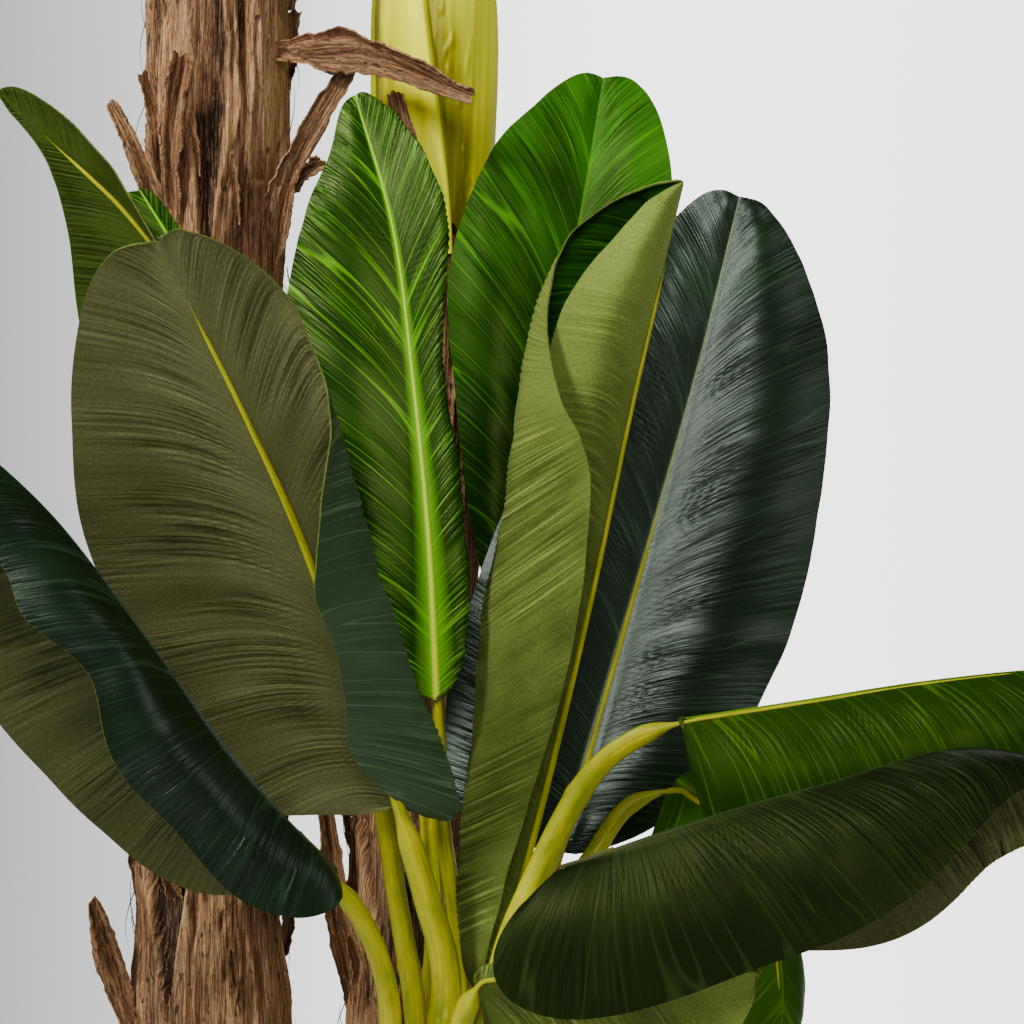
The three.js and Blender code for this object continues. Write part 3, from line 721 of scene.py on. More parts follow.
def make_stalk(leaf, ring_step, sides, sunk=1.0, slim=1.0):
    """The stalk and midrib of one leaf as one moulded length, sunk some radii under the cloth."""
    root, neck = leaf["radii"]
    thin = neck * RIB_SHARE * slim
    u = np.array([0.03, 0.08, 0.15, 0.25, 0.5, 0.7, RIB_REACH])
    centre, _, up, _ = rib_frames(leaf, u)
    rib_radius = thin + (RIB_TIP_RADIUS - thin) * u / RIB_REACH
    rib = centre - up * (sunk * rib_radius + CLOTH_THICKNESS)[:, None]
    path = np.concatenate([leaf["stalk"], rib])

    whole = length_of(path)
    base = 1 - length_of(leaf["midrib"]) * RIB_REACH / whole
    shares = np.linspace(0, 1, int(whole / ring_step))
    centre = curve(path, shares)
    tangents = unit(np.gradient(centre, axis=0))
    ups = carried_up(tangents, int(base * len(shares)), up[0])
    radius = np.where(
        shares < base,
        root + (neck - root) * shares / base,
        thin + (RIB_TIP_RADIUS - thin) * (shares - base) / (1 - base),
    )
    necking = smoothstep(base - 0.04, base, shares)
    radius = np.where(shares < base, radius + (thin - radius) * necking, radius)
    radius = radius * (1 - 0.9 * smoothstep(0.95, 1, shares))

    turn = np.linspace(-np.pi, np.pi, sides + 1)[None]
    open_part = (1 - smoothstep(base - 0.06, base, shares))[:, None]
    channel = -STALK["channel"] * bell(turn, 0.5)
    channel = channel + STALK["lip"] * bell(np.abs(turn) - STALK["lip_at"], 0.2)
    seam = STALK["seam"] * bell(np.abs(turn) - STALK["seam_at"], 0.12)
    joints = sum(bell((shares - at) * whole, STALK["joint_length"]) for at in JOINTS)[:, None]
    swell = STALK["swell"] * ripples(turn * 0, shares[:, None] * whole / STALK["swell_length"], root * 900)
    ring = radius[:, None] * (1 + channel * open_part + seam + STALK["joint"] * joints + swell)
    side = np.cross(tangents, ups)
    points = centre[:, None] + ring[..., None] * (
        np.cos(turn)[..., None] * ups[:, None] + np.sin(turn)[..., None] * side[:, None]
    )
    uv = np.stack(np.broadcast_arrays(turn / np.pi, shares[:, None] * whole), axis=-1)
    piece = lay_sheet(leaf["name"].replace("leaf", "stalk"), points, uv, rolled=True)
    return dress(piece, "green_sheath", stalk_plastic)


# %% [markdown]
# A stalk starts inside its stem, so we also need a point beside a stem's axis.


# %% Beside a stem
def around(path, bearing, distance, height):
    """A point by its bearing round a stem in degrees, its distance from the axis and its height."""
    low, high = path[0][2], path[-1][2]
    x, y, _ = curve(path, [np.clip((height - low) / (high - low), 0, 1)])[0]
    turn = math.radians(bearing)
    return [x + distance * math.cos(turn), y + distance * math.sin(turn), height]


# %% [markdown]
# ## The leaves of the front stem
# These leaves are the ones that the photograph shows. Each has its own midrib, the side that its
# top faces, and its two halves. A root is a bearing round the stem and a height.

# %% Front leaves, each by its own sizes
FRONT_LEAVES = [
    dict(
        name="leaf_dark_right",
        root=[50, 0.4],
        stalk=[[0.157, -0.1, 0.562], [0.182, -0.085, 0.625]],
        radii=[0.01, 0.007],
        midrib=[
            [0.195, -0.075, 0.655], [0.235, -0.04, 0.79], [0.275, -0.015, 0.925], [0.315, 0.005, 1.065],
            [0.35, 0.02, 1.205],
        ],
        facing=[[-0.1, -1, 0.1], [-0.1, -1, 0.2]],
        left=arch([0.08, 0.125, 0.13, 0.115, 0.095, 0.06, 0.03], [10], 30),
        right=arch([0.035, 0.1, 0.14, 0.135, 0.11, 0.07, 0.03], [-15], 45),
    ),
    dict(
        name="leaf_bright_back",
        root=[90, 0.405],
        stalk=[[0.128, -0.07, 0.52], [0.134, -0.03, 0.64], [0.14, -0.016, 0.76]],
        radii=[0.01, 0.007],
        midrib=[
            [0.145, -0.01, 0.83], [0.165, 0.015, 0.95], [0.19, 0.04, 1.075], [0.215, 0.058, 1.195],
            [0.235, 0.072, 1.315],
        ],
        facing=[[-0.1, -1, 0.1], [-0.1, -1, 0.2]],
        left=arch(
            [0.01, 0.035, 0.07, 0.105, 0.09, 0.055, 0.025], [0, 5, 10], 45,
            [0, 0.1, 0.35, 0.6, 0.75, 0.75, 0.7],
        ),
        right=arch([0.015, 0.04, 0.065, 0.08, 0.08, 0.06, 0.03], [10], 35),
    ),
    dict(
        name="leaf_bright_middle",
        root=[100, 0.425],
        inner=0.012,
        stalk=[[0.114, -0.113, 0.56], [0.099, -0.122, 0.685]],
        radii=[0.009, 0.005],
        midrib=[
            [0.095, -0.15, 0.785], [0.088, -0.14, 0.915], [0.075, -0.12, 1.04], [0.058, -0.098, 1.165],
            [0.025, -0.06, 1.28],
        ],
        facing=[[-0.2, -1, 0.1], [-0.3, -1, 0.2]],
        left=arch(
            [0.035, 0.07, 0.095, 0.1, 0.07, 0.035, 0.015], [10, 5, 10], 45,
            [0.1, 0.3, 0.55, 0.8, 0.9, 0.9, 0.8],
        ),
        right=[
            strip(
                [0.02, 0.03, 0.03, 0.025, 0.045, 0.035, 0.015], [-15, -20, -5, 5],
                [0.1, 0.3, 0.55, 0.8, 0.85, 0.8],
            ),
            strip(
                [0.01, 0.025, 0.035, 0.035, 0.03, 0.02, 0.01], [-150, -130, -135, -160],
                [0.1, 0.15, 0.25, 0.5],
            ),
        ],
    ),
    dict(
        name="leaf_rolled",
        root=[290, 0.425],
        inner=0.01,
        stalk=[[0.128, -0.146, 0.5]],
        radii=[0.011, 0.009],
        midrib=[
            [0.135, -0.15, 0.55], [0.18, -0.13, 0.715], [0.22, -0.115, 0.88], [0.255, -0.095, 1.04],
            [0.295, -0.08, 1.205],
        ],
        facing=[[-1, 0, 0.3]],
        right=[
            strip(
                [0.01, 0.015, 0.025, 0.03, 0.04, 0.045, 0.025], [65, 60, 60, 50, 35],
                [-0.3, -0.1, -0.2, -0.4, -0.3],
            ),
            strip(
                [0.005, 0.015, 0.02, 0.03, 0.035, 0.04, 0.015], [110, 110, 105, 110],
                [-0.2, -0.5, -0.4, -0.1],
            ),
        ],
        left=[
            strip(
                [0.02, 0.035, 0.05, 0.06, 0.06, 0.055, 0.025], [20, 25, 25, 30, 35],
                [0.1, 0.1, 0, 0.1, 0.5],
            ),
            strip(
                [0.02, 0.04, 0.055, 0.075, 0.08, 0.07, 0.025], [125, 130, 135, 130, 90],
                [-0.5, -0.6, -0.6, -0.7, -0.1],
            ),
            strip(
                [0.03, 0.055, 0.075, 0.09, 0.08, 0.045, 0.015], [-150, -140, -130, -130, -140, -165, -240],
                [0.2, 0.35, 0.5, 0.65, 0.35, -0.45, -0.75],
            ),
        ],
    ),
    dict(
        name="leaf_large_left",
        root=[245, 0.395],
        stalk=[[0.103, -0.165, 0.564], [0.086, -0.175, 0.637]],
        radii=[0.016, 0.009],
        midrib=[
            [0.067, -0.185, 0.705], [0.03, -0.23, 0.815], [-0.005, -0.28, 0.92], [-0.05, -0.33, 1.025],
            [-0.1, -0.37, 1.13],
        ],
        facing=[[0.1, 1, 0.3]],
        right=arch(
            [0.05, 0.125, 0.155, 0.16, 0.125, 0.08, 0.035], [-15, 0, 0], 45,
            [-0.15, -0.2, 0, 0.25, 0.4, 0.55, 0.7],
        ),
        left=[
            strip(
                [
                    0.025, 0.04, 0.05, 0.05, 0.05, 0.05, 0.05, 0.055, 0.06, 0.06, 0.06, 0.05, 0.035, 0.02,
                    0.01,
                ],
                [5, 0, -5, 0, 15, 20, 20],
                [-1.1, -0.6, 0, 0.3, 0.5, 0.55, 0.7],
            ),
            strip(
                [
                    0.01, 0.04, 0.065, 0.07, 0.06, 0.055, 0.06, 0.045, 0.03, 0.015, 0.01, 0.005, 0.005,
                    0.005, 0.005,
                ],
                [-165, -160, -145, -120, -60, -20, 0],
                [0.8, 0.3, 0.1, 0, 0],
            ),
        ],
    ),
    dict(
        name="leaf_tent_left",
        root=[205, 0.385],
        stalk=[[0.058, -0.185, 0.56], [0.039, -0.208, 0.618]],
        radii=[0.012, 0.008],
        midrib=[
            [0.02, -0.23, 0.66], [-0.05, -0.275, 0.745], [-0.115, -0.305, 0.84], [-0.185, -0.325, 0.935],
            [-0.27, -0.35, 1.015],
        ],
        facing=[[0.6, -0.2, 0.7]],
        left=arch(
            [
                0.01, 0.025, 0.045, 0.065, 0.08, 0.08, 0.09, 0.065, 0.08, 0.065, 0.075, 0.075, 0.06, 0.04,
                0.02,
            ],
            [-10, -40, -45, -35, -40, -50, -65],
            70,
            [-1.1, -0.6, 0.2, 0.3, 0.4],
        ),
        right=arch(
            [0.015, 0.05, 0.125, 0.155, 0.14, 0.1, 0.055], [-120, -90, -75, -75, -75, -80, -90], 50,
            [-1.3, -0.8, 0, 0.15, 0.3],
        ),
    ),
    dict(
        name="leaf_tent_right",
        root=[278, 0.39],
        stalk=[[0.16, -0.212, 0.545], [0.176, -0.275, 0.615]],
        radii=[0.011, 0.008],
        midrib=[
            [0.19, -0.33, 0.675], [0.285, -0.35, 0.71], [0.385, -0.36, 0.74], [0.485, -0.36, 0.765],
            [0.58, -0.35, 0.745],
        ],
        facing=[[-0.1, 0, 1], [0, 0, 1]],
        right=arch(
            [0.025, 0.115, 0.12, 0.11, 0.075, 0.035, 0.01], [-45, -70, -70, -60, -50, -40, -20], 60,
            [-2, -0.7, 0.1, 0.2, 0.2, 0.1, -0.5],
        ),
        left=arch(
            [0.015, 0.06, 0.115, 0.15, 0.11, 0.07, 0.03], [-75, -75, -70, -65, -65, -70, -75], 50,
            [-0.5, -0.3, 0, 0.2, 0.4, 0.45],
        ),
    ),
    dict(
        name="leaf_bright_right",
        root=[325, 0.405],
        stalk=[
            [0.146, -0.175, 0.562], [0.173, -0.185, 0.646], [0.216, -0.192, 0.729], [0.251, -0.2, 0.759],
        ],
        radii=[0.018, 0.008],
        midrib=[
            [0.285, -0.21, 0.775], [0.38, -0.215, 0.79], [0.475, -0.22, 0.805], [0.575, -0.225, 0.815],
            [0.67, -0.22, 0.815],
        ],
        facing=[[0, 0, 1]],
        left=arch(
            [0.06, 0.085, 0.105, 0.11, 0.09, 0.05, 0.015], [-30], 40, [0, 0, 0.1, 0.25, 0.35, 0.45, 0.5],
        ),
        right=arch(
            [0.11, 0.12, 0.115, 0.105, 0.085, 0.05, 0.015], [-90, -80, -75, -70, -65, -65, -65], 70,
            [0, 0, 0.1, 0.25, 0.3],
        ),
    ),
    dict(
        name="leaf_hanging_right",
        root=[5, 0.4],
        stalk=[[0.178, -0.12, 0.573], [0.219, -0.095, 0.651], [0.252, -0.08, 0.694]],
        radii=[0.013, 0.007],
        midrib=[
            [0.29, -0.08, 0.715], [0.335, -0.13, 0.685], [0.36, -0.165, 0.625], [0.368, -0.185, 0.55],
            [0.355, -0.185, 0.47],
        ],
        facing=[[0.6, 0, 0.6], [1, 0, 0]],
        left=arch(
            [0.02, 0.035, 0.05, 0.055, 0.05, 0.03, 0.01], [80, 60, 35, 20, 25, 35, 40], 60,
            [-0.2, 0, 0.1, 0.3],
        ),
        right=arch(
            [0.06, 0.09, 0.11, 0.11, 0.09, 0.06, 0.025], [-100, -90, -80, -75], 60,
            [0, 0.1, 0.25, 0.3, 0.35],
        ),
    ),
    dict(
        name="leaf_far_left",
        root=[172, 0.395],
        stalk=[[0.078, -0.122, 0.5], [0.06, -0.128, 0.64], [0.038, -0.142, 0.78]],
        radii=[0.01, 0.006],
        midrib=[
            [0.02, -0.155, 0.895], [-0.03, -0.168, 1], [-0.09, -0.18, 1.095], [-0.16, -0.19, 1.185],
            [-0.245, -0.205, 1.26],
        ],
        facing=[[0.3, 1, 0.3]],
        right=arch(
            [0.07, 0.115, 0.12, 0.085, 0.045, 0.015, 0.005], [-20, -20, -25, -50], 35,
            [0.05, 0.2, 0.4, 0.55, 0.6, 0.6, 0.2],
        ),
        left=arch(
            [0.01, 0.02, 0.03, 0.035, 0.03, 0.025, 0.015], [5, -10, -30, -60, -50, -15, 10], 35,
            [0.1, 0.2, 0.3, 0.1, 0.2, 0.5, 0.6],
        ),
    ),
    dict(
        name="leaf_behind_left",
        root=[130, 0.4],
        stalk=[[0.092, -0.088, 0.573], [0.088, -0.074, 0.659]],
        radii=[0.011, 0.007],
        midrib=[
            [0.083, -0.07, 0.767], [0.037, -0.062, 0.862], [-0.022, -0.052, 0.97], [-0.089, -0.046, 1.095],
            [-0.156, -0.04, 1.204],
        ],
        facing=[[-0.1, -1, 0.2]],
        left=arch(
            [0.02, 0.055, 0.065, 0.07, 0.065, 0.045, 0.03], [-5, -15, -5], 35,
            [0.1, 0.25, 0.45, 0.6, 0.7, 0.7, 0.7],
        ),
        right=arch(
            [0.005, 0.015, 0.04, 0.05, 0.035, 0.015, 0.01], [35, 20, 20], 35,
            [0, 0.1, 0.3, 0.45, 0.55, 0.6, 0.6],
        ),
    ),
    dict(
        name="leaf_low_front",
        root=[262, 0.35],
        stalk=[[0.105, -0.215, 0.47], [0.115, -0.25, 0.54]],
        radii=[0.011, 0.008],
        midrib=[
            [0.128, -0.272, 0.58], [0.18, -0.3, 0.596], [0.235, -0.316, 0.602], [0.29, -0.326, 0.602],
            [0.336, -0.33, 0.596],
        ],
        facing=[[0, 1, 0.1]],
        left=arch(
            [0.095, 0.115, 0.12, 0.11, 0.09, 0.06, 0.03], [5], 30, [-0.3, -0.1, 0.1, 0.25, 0.3, 0.3, 0.2],
        ),
        right=arch([0.01, 0.012, 0.018, 0.022, 0.02, 0.015, 0.008], [20], 40),
    ),
]


# %% [markdown]
# ## The leaves of the two tall stems
# Above the photograph's view the two tall stems carry a crown each. Their leaves follow one
# rule: an old leaf leaves its stem low and arches far down, a young one stands steeply. Age 0 is
# the lowest leaf and 1 the youngest, and each pair below holds the values for those two.

# %% The rule of the crowns
ROOT = dict(inside=0.022, outside=0.05, rise=0.032)
CROWN = dict(
    root=[-0.15, -0.025],
    rise=[34, 76],
    droop=[62, 36],
    stalk=[0.17, 0.22],
    upright=14,
    bend=1.2,
    steps=40,
    width_share=0.205,
    half_widths=[0.5, 0.86, 1, 0.98, 0.84, 0.6, 0.32],
)
# each leaf's bearing in degrees, age, length in metres and tilt in degrees
MIDDLE_LEAVES = [
    (300, 0.0, 0.50, 8), (75, 0.1, 0.52, -8), (350, 0.3, 0.56, 10), (125, 0.45, 0.52, -6),
    (250, 0.5, 0.52, 6), (30, 0.75, 0.56, -10),
]
TALL_LEAVES = [
    (200, 0.0, 0.56, 8), (335, 0.35, 0.58, -8), (110, 0.15, 0.58, 6), (245, 0.3, 0.60, -6),
    (20, 0.55, 0.60, 8), (155, 0.5, 0.60, -10), (290, 0.75, 0.60, 6), (65, 0.9, 0.56, -6),
]


def arching_leaf(name, path, bearing, age, length, tilt):
    """One leaf of a crown, worked out from its bearing, age, length and tilt."""
    pairs = (CROWN[key] for key in ("root", "rise", "droop", "stalk"))
    root, rise, droop, stalk = (low + (high - low) * age for low, high in pairs)
    whole = stalk + length
    turn = math.radians(bearing)
    outward = np.array([math.cos(turn), math.sin(turn), 0])
    sideways = np.array([-math.sin(turn), math.cos(turn), 0])
    upward = np.array([0, 0, 1.0])
    steps = (np.arange(CROWN["steps"]) + 0.5) / CROWN["steps"]
    bend = (droop + CROWN["upright"]) * steps ** CROWN["bend"]
    pitch = np.radians(rise + CROWN["upright"] - bend)[:, None]
    moves = (outward * np.cos(pitch) + upward * np.sin(pitch)) * whole / CROWN["steps"]
    start = around(path, bearing, ROOT["inside"], path[-1][2] + root)
    points = np.concatenate([[start], start + np.cumsum(moves, axis=0)])
    facing = upward + sideways * math.sin(math.radians(tilt)) - outward * math.sin(math.radians(rise))
    widths = np.array(CROWN["half_widths"]) * length * CROWN["width_share"]

    def at(distance):
        """The point of the arch at this distance from its root."""
        return points[round(distance / whole * CROWN["steps"])]

    return dict(
        name=name,
        stalk=[at(0), at(stalk * 0.35), at(stalk * 0.7)],
        radii=[0.013, 0.008],
        midrib=[at(stalk + share * length) for share in (0, 0.25, 0.5, 0.75, 1)],
        facing=[facing, upward],
        left=arch(widths, [6, -8, -22], 50),
        right=arch(widths, [6, -12, -26], 60),
    )


# %% [markdown]
# ## The stems
# A banana stem isn't wood but a roll of leaf sheaths. On the two trunks they are dry and brown,
# with fibres, cracks, holes and torn edges. The green tops and the short stem in front are
# fresh sheaths that lap over each other. All five follow their solid's path and radii; we only
# add the height of laps and fibres to the radius.

# %% Sizes of the stems
GAP = 0.0003
FILL_TOP = 0.27
TALL = dict(
    path=[
        [-0.095, 0.045, 0.2703], [-0.109, 0.066, 0.52], [-0.106, 0.07, 0.95], [-0.101, 0.07, 1.37],
        [-0.098, 0.07, 1.56],
    ],
    radii=[0.076, 0.064, 0.061, 0.061, 0.06],
)
TALL_TOP = dict(
    path=[[-0.098, 0.07, 1.5603], [-0.096, 0.07, 1.68], [-0.095, 0.068, 1.8]],
    radii=[0.05, 0.047, 0.034],
)
MIDDLE = dict(
    path=[
        [0.06, 0.09, 0.2703], [0.062, 0.104, 0.48], [0.066, 0.11, 0.7], [0.076, 0.11, 0.96],
        [0.08, 0.11, 1.16],
    ],
    radii=[0.064, 0.054, 0.051, 0.05, 0.048],
)
MIDDLE_TOP = dict(
    path=[[0.08, 0.11, 1.1603], [0.084, 0.11, 1.3], [0.086, 0.11, 1.42], [0.088, 0.108, 1.52]],
    radii=[0.05, 0.053, 0.053, 0.036],
)
FRONT = dict(
    path=[[0.095, -0.095, 0.2703], [0.102, -0.11, 0.35], [0.112, -0.128, 0.44]],
    radii=[0.054, 0.044, 0.036],
)
STEM_RIBS = dict(count=3, depth=0.025, twist=5)
# the height in metres that takes a finish from its darkest to its palest
RELIEF_RANGE = dict(bark=0.016, sheath=0.009, strip=0.005)


def stem_surface(stem, sides, ring_step):
    """A stem's axis, its radius and the angle, share and metres of each point of its surface."""
    height = stem["path"][-1][2] - stem["path"][0][2]
    s = np.linspace(0, 1, int(height / ring_step))[:, None]
    centre = curve(stem["path"], s[:, 0])[:, None]
    turn = np.linspace(0, 2 * np.pi, sides + 1)[None]
    ribs = 1 + STEM_RIBS["depth"] * np.sin(STEM_RIBS["twist"] * s - STEM_RIBS["count"] * turn)
    return centre, spread(stem["radii"], s) * ribs, turn, s, s * height


def stem_points(centre, radius, turn, rise=0.0):
    """The points of a surface round an axis, moved up by a rise."""
    place = np.stack(np.broadcast_arrays(np.cos(turn) * radius, np.sin(turn) * radius, rise), axis=-1)
    return centre + place


# %% [markdown]
# The bark's height has six parts. The laps are the edges of old sheaths: the radius grows slowly
# round the stem and then drops by a few millimetres, along a line that wanders with height. The
# bulges are soft and wide. The fibres are sharp ridges, long upwards and narrow across, that sway
# a little. The scars are level wrinkles where leaves once stood, and small holes lie in rows. The
# openings are V-shaped gaps between two sheaths. A displacement picture could give such a
# height, but not one that knows where a lap or an opening lies.
# The height is also kept as an attribute, because low cracks get painted shade and crests a painted
# highlight, and a second attribute keeps the direction of the fibres, so that they also follow a bent strip.

# %% Heights of the bark
BARK = dict(laps=4, lap=0.0075, bulge=0.006, coarse=0.0040, middle=0.0026, scar=0.0016, pit=0.003, lip=0.0025)
# each opening's bearing in degrees, bottom, length, half width in degrees and depth
TALL_OPENINGS = [
    (268, 0.855, 0.17, 17, 0.009), (243, 0.235, 0.17, 27, 0.012), (20, 0.50, 0.20, 20, 0.008),
    (130, 0.72, 0.18, 22, 0.009), (75, 0.12, 0.16, 18, 0.008), (180, 0.98, 0.16, 20, 0.008),
]
MIDDLE_OPENINGS = [
    (285, 0.20, 0.16, 22, 0.008), (40, 0.55, 0.15, 22, 0.008), (150, 0.30, 0.18, 24, 0.008),
]


def ridged(x, y, z):
    """Noise with sharp crests instead of round ones, about -1 to 0.5."""
    return 0.5 - 2 * np.abs(ripples(x, y, z))


def opening_height(turn, up, bearing, bottom, length, half_width, depth):
    """The gap of one V-shaped opening and the lips beside it."""
    share = (up - bottom) / length
    aside = (turn - math.radians(bearing) + np.pi) % (2 * np.pi) - np.pi
    half = math.radians(half_width) * np.clip(share, 0.02, 1)
    reach = np.abs(aside) / half
    inside = (share > 0) * (1 - smoothstep(0.8, 1.0, share))
    gap = -depth * (1 - smoothstep(0.75, 1.0, reach))
    return inside * (gap + BARK["lip"] * bell(reach - 1.15, 0.2))


def bark_height(turn, up, seed, openings):
    """Height of the bark in metres over its smooth surface."""
    x, y = np.cos(turn), np.sin(turn)
    sway = 0.16 * ripples(x * 1.3 + seed, y * 1.3, up / 0.12)
    sway = sway + 0.05 * ripples(x * 4, y * 4 + seed, up / 0.035)
    xs, ys = np.cos(turn + sway), np.sin(turn + sway)
    wander = 0.5 * ripples(x * 0.7 + seed, y * 0.7, up / 0.2)
    phase = ((turn / (2 * np.pi) + wander * 0.35 + sway * 0.25 + 0.3 * up) * BARK["laps"]) % 1.0
    depth = 0.3 + 0.9 * smoothstep(-0.3, 0.4, ripples(x * 1.2, y * 1.2 + seed, up / 0.2 + 5))
    laps = BARK["lap"] * depth * (phase**2 * (1 - smoothstep(0.95, 1.0, phase)) - 0.35)
    strength = 0.45 + 0.9 * smoothstep(-0.35, 0.3, ripples(x * 1.1 + seed, y * 1.1, up / 0.2 + 9))
    coarse = BARK["coarse"] * ridged(xs * 5.5, ys * 5.5 + seed, up / 0.2)
    middle = BARK["middle"] * ridged(xs * 12 + seed, ys * 12, up / 0.11)
    level = up / 0.19 + 0.14 * ripples(x * 1.4, y * 1.4 + seed, 0.0) + seed
    ring = bell((level - np.round(level)) * 0.19, 0.011)
    scars = BARK["scar"] * ring * ripples(x * 2, y * 2 + seed, up / 0.006) * 2.2
    holes = smoothstep(0.36, 0.5, ripples(x * 7, y * 7 + seed, up / 0.03))
    row = smoothstep(0.0, 0.3, ripples(x * 1.3, y * 1.3 + seed, up / 0.3 + 2))
    gaps = sum(opening_height(turn, up, *opening) for opening in openings)
    bulge = BARK["bulge"] * ripples(x * 0.9 + seed, y * 0.9, up / 0.09)
    return laps + bulge + strength * (coarse + middle) + scars - BARK["pit"] * holes * row + gaps


# %% Bark finish
def bark_finish(name, crack_and_shade, body, crest_and_highlight, inner, grey, strand):
    """Dry fibre: pale crests with a painted highlight, dark cracks with painted shade, and grey and red
    patches.
    """
    material = new_material(name, 0.82, specular=0.25)
    place, height = kept(material, "grain", "Vector"), kept(material, "relief", "Fac")
    fibres = pattern(place, (300, 300, 14), 4, 0.7)
    threads = pattern(place, (700, 700, 26), 3, 0.6)
    patches = pattern(place, (14, 14, 4), 3)
    spots = pattern(place, (170, 170, 60), 2)
    fine = maths("MULTIPLY_ADD", fibres, 0.42, maths("MULTIPLY", threads, 0.26))
    tone = maths("MULTIPLY_ADD", height, 0.34, fine)
    # the colour follows the height and the fibres: painted shade low down, a painted highlight on the crests
    colour = ramp(tone, (0.38, crack_and_shade), (0.46, body), (0.56, crest_and_highlight), (0.66, strand))
    colour = blend(colour, inner, patches, (0.5, 0.0), (0.68, 0.6))
    colour = blend(colour, grey, patches, (0.28, 0.5), (0.42, 0.0))
    colour = blend(colour, inner, height, (0.0, 0.6), (0.3, 0.0))
    # painted shade in the low parts of the relief
    colour = blend(colour, crack_and_shade, height, (0.1, 0.7), (0.34, 0.0))
    crossing = maths("ABSOLUTE", maths("SUBTRACT", fibres, 0.5))
    colour = blend(colour, crack_and_shade, crossing, (0.0, 0.9), (0.022, 0.0))
    loose = maths("ABSOLUTE", maths("SUBTRACT", threads, 0.56))
    colour = blend(colour, strand, loose, (0.0, 0.6), (0.03, 0.0))
    colour = blend(colour, crack_and_shade, spots, (0.66, 0.0), (0.72, 0.85))
    return finish(material, colour, (fibres, 0.006), (threads, 0.0022))


BARK_FINISH = bark_finish(
    "bark_fibre", crack_and_shade=(0.008, 0.003, 0.001), body=(0.115, 0.047, 0.015), crest_and_highlight=(0.32, 0.160, 0.066),
    inner=(0.15, 0.047, 0.012), grey=(0.13, 0.10, 0.068), strand=(0.58, 0.33, 0.15),
)

TORN_EDGE = dict(rise=0.012, ragged=0.03)


def make_trunk(name, stem, seed, openings, inner_top, sides=230, ring_step=0.0042):
    """A bark trunk, whose torn upper edge closes in on the green sheaths."""
    centre, radius, turn, s, up = stem_surface(stem, sides, ring_step)
    height = bark_height(turn, up, seed, openings)
    rim = smoothstep(0.965, 1.0, s)
    ragged = TORN_EDGE["ragged"] * ripples(np.cos(turn) * 3, np.sin(turn) * 3, seed)
    torn = rim * (TORN_EDGE["rise"] + ragged)
    radius = radius + height * (1 - 0.6 * rim)
    radius = np.maximum(radius, inner_top * rim)
    piece = lay_sheet(name, stem_points(centre, radius, turn, torn))
    keep_values(piece, "relief", 0.55 + height / RELIEF_RANGE["bark"])
    girth = stem["radii"][2]
    around_axis = np.stack(np.broadcast_arrays(girth * np.cos(turn), girth * np.sin(turn), up), axis=-1)
    keep_values(piece, "grain", around_axis)
    weld()
    return dress(piece, "bark", BARK_FINISH, nodes=[name.replace("bark", "trunk")], sharp=80)


# %% [markdown]
# Fresh sheaths are smooth and thick. Their laps are few and their edges run up the stem,
# leaning a little. Fine lines and pale streaks follow them.

# %% Green sheaths
sheath_plastic = new_material("sheath_plastic", 0.38, tint=(1, 1, 0.2), coat=0.05, depth=0.1)
place = object_place(sheath_plastic)
veins = pattern(place, (90, 90, 3), 3, 0.55)
patches = pattern(place, (22, 22, 4), 3)
# the colour follows the relief: painted shade in the low crevice beside each lap edge
tone = maths("MULTIPLY_ADD", veins, 0.16, kept(sheath_plastic, "relief", "Fac"))
sheath_colour = ramp(
    tone,
    (0.1, (0.05, 0.045, 0.0)), (0.30, (0.22, 0.20, 0.0)), (0.48, (0.62, 0.61, 0.0)), (0.8, (0.94, 0.92, 0.0)),
)
sheath_colour = blend(sheath_colour, (0.86, 0.88, 0.02), patches, (0.48, 0.0), (0.75, 0.4))
finish(sheath_plastic, sheath_colour, (veins, 0.0005))

SHEATH = dict(ridge=0.0007, fold=0.0018, blister=0.0016)


def make_green_stem(name, stem, seed, laps=5, lap=0.0075, sides=220, ring_step=0.0035):
    """A stem of fresh sheaths that lap over each other."""
    centre, radius, turn, s, up = stem_surface(stem, sides, ring_step)
    x, y = np.cos(turn), np.sin(turn)
    wander = 0.12 * ripples(x * 0.8 + seed, y * 0.8, up / 0.35)
    phase = ((turn / (2 * np.pi) + wander + 0.3 * up) * laps) % 1.0
    height = lap * (phase**1.5 * (1 - smoothstep(0.9, 1.0, phase)) - 0.4)
    ridges = SHEATH["ridge"] * ripples(x * 9, y * 9 + seed, up / 0.3)
    ridges = ridges + SHEATH["fold"] * ripples(x * 3, y * 3, up / 0.2 + seed)
    blisters = smoothstep(0.35, 0.5, ripples(x * 9 + seed, y * 9, up / 0.009))
    blisters = SHEATH["blister"] * blisters * bell(phase - 0.3, 0.25)
    piece = lay_sheet(name, stem_points(centre, radius + height + ridges + blisters, turn, 0 * turn * s))
    keep_values(piece, "relief", 0.5 + (height + ridges) / RELIEF_RANGE["sheath"])
    weld()
    return dress(piece, "green_sheath", sheath_plastic, nodes=[name.replace("sheaths", "stem")], sharp=60)


make_trunk("bark_tall", TALL, seed=2.0, openings=TALL_OPENINGS, inner_top=0.0505)
make_trunk("bark_middle", MIDDLE, seed=11.0, openings=MIDDLE_OPENINGS, inner_top=0.051)
make_green_stem("sheaths_tall_green", TALL_TOP, seed=4.0)
make_green_stem("sheaths_middle_green", MIDDLE_TOP, seed=6.0)
make_green_stem("sheaths_front", FRONT, seed=8.0)
print("stems done")

# %% [markdown]
# ## Torn strips of dry sheath
# Dry sheaths stand off the trunks as curled slats with ragged ends. They are sheets that are
# folded into a channel and then thickened. Their ends are cut unevenly by moving the last rows
# along the strip.

# %% Sheath strips
STRIP = dict(ridge=0.0011, fibre=0.0007, torn=0.006)
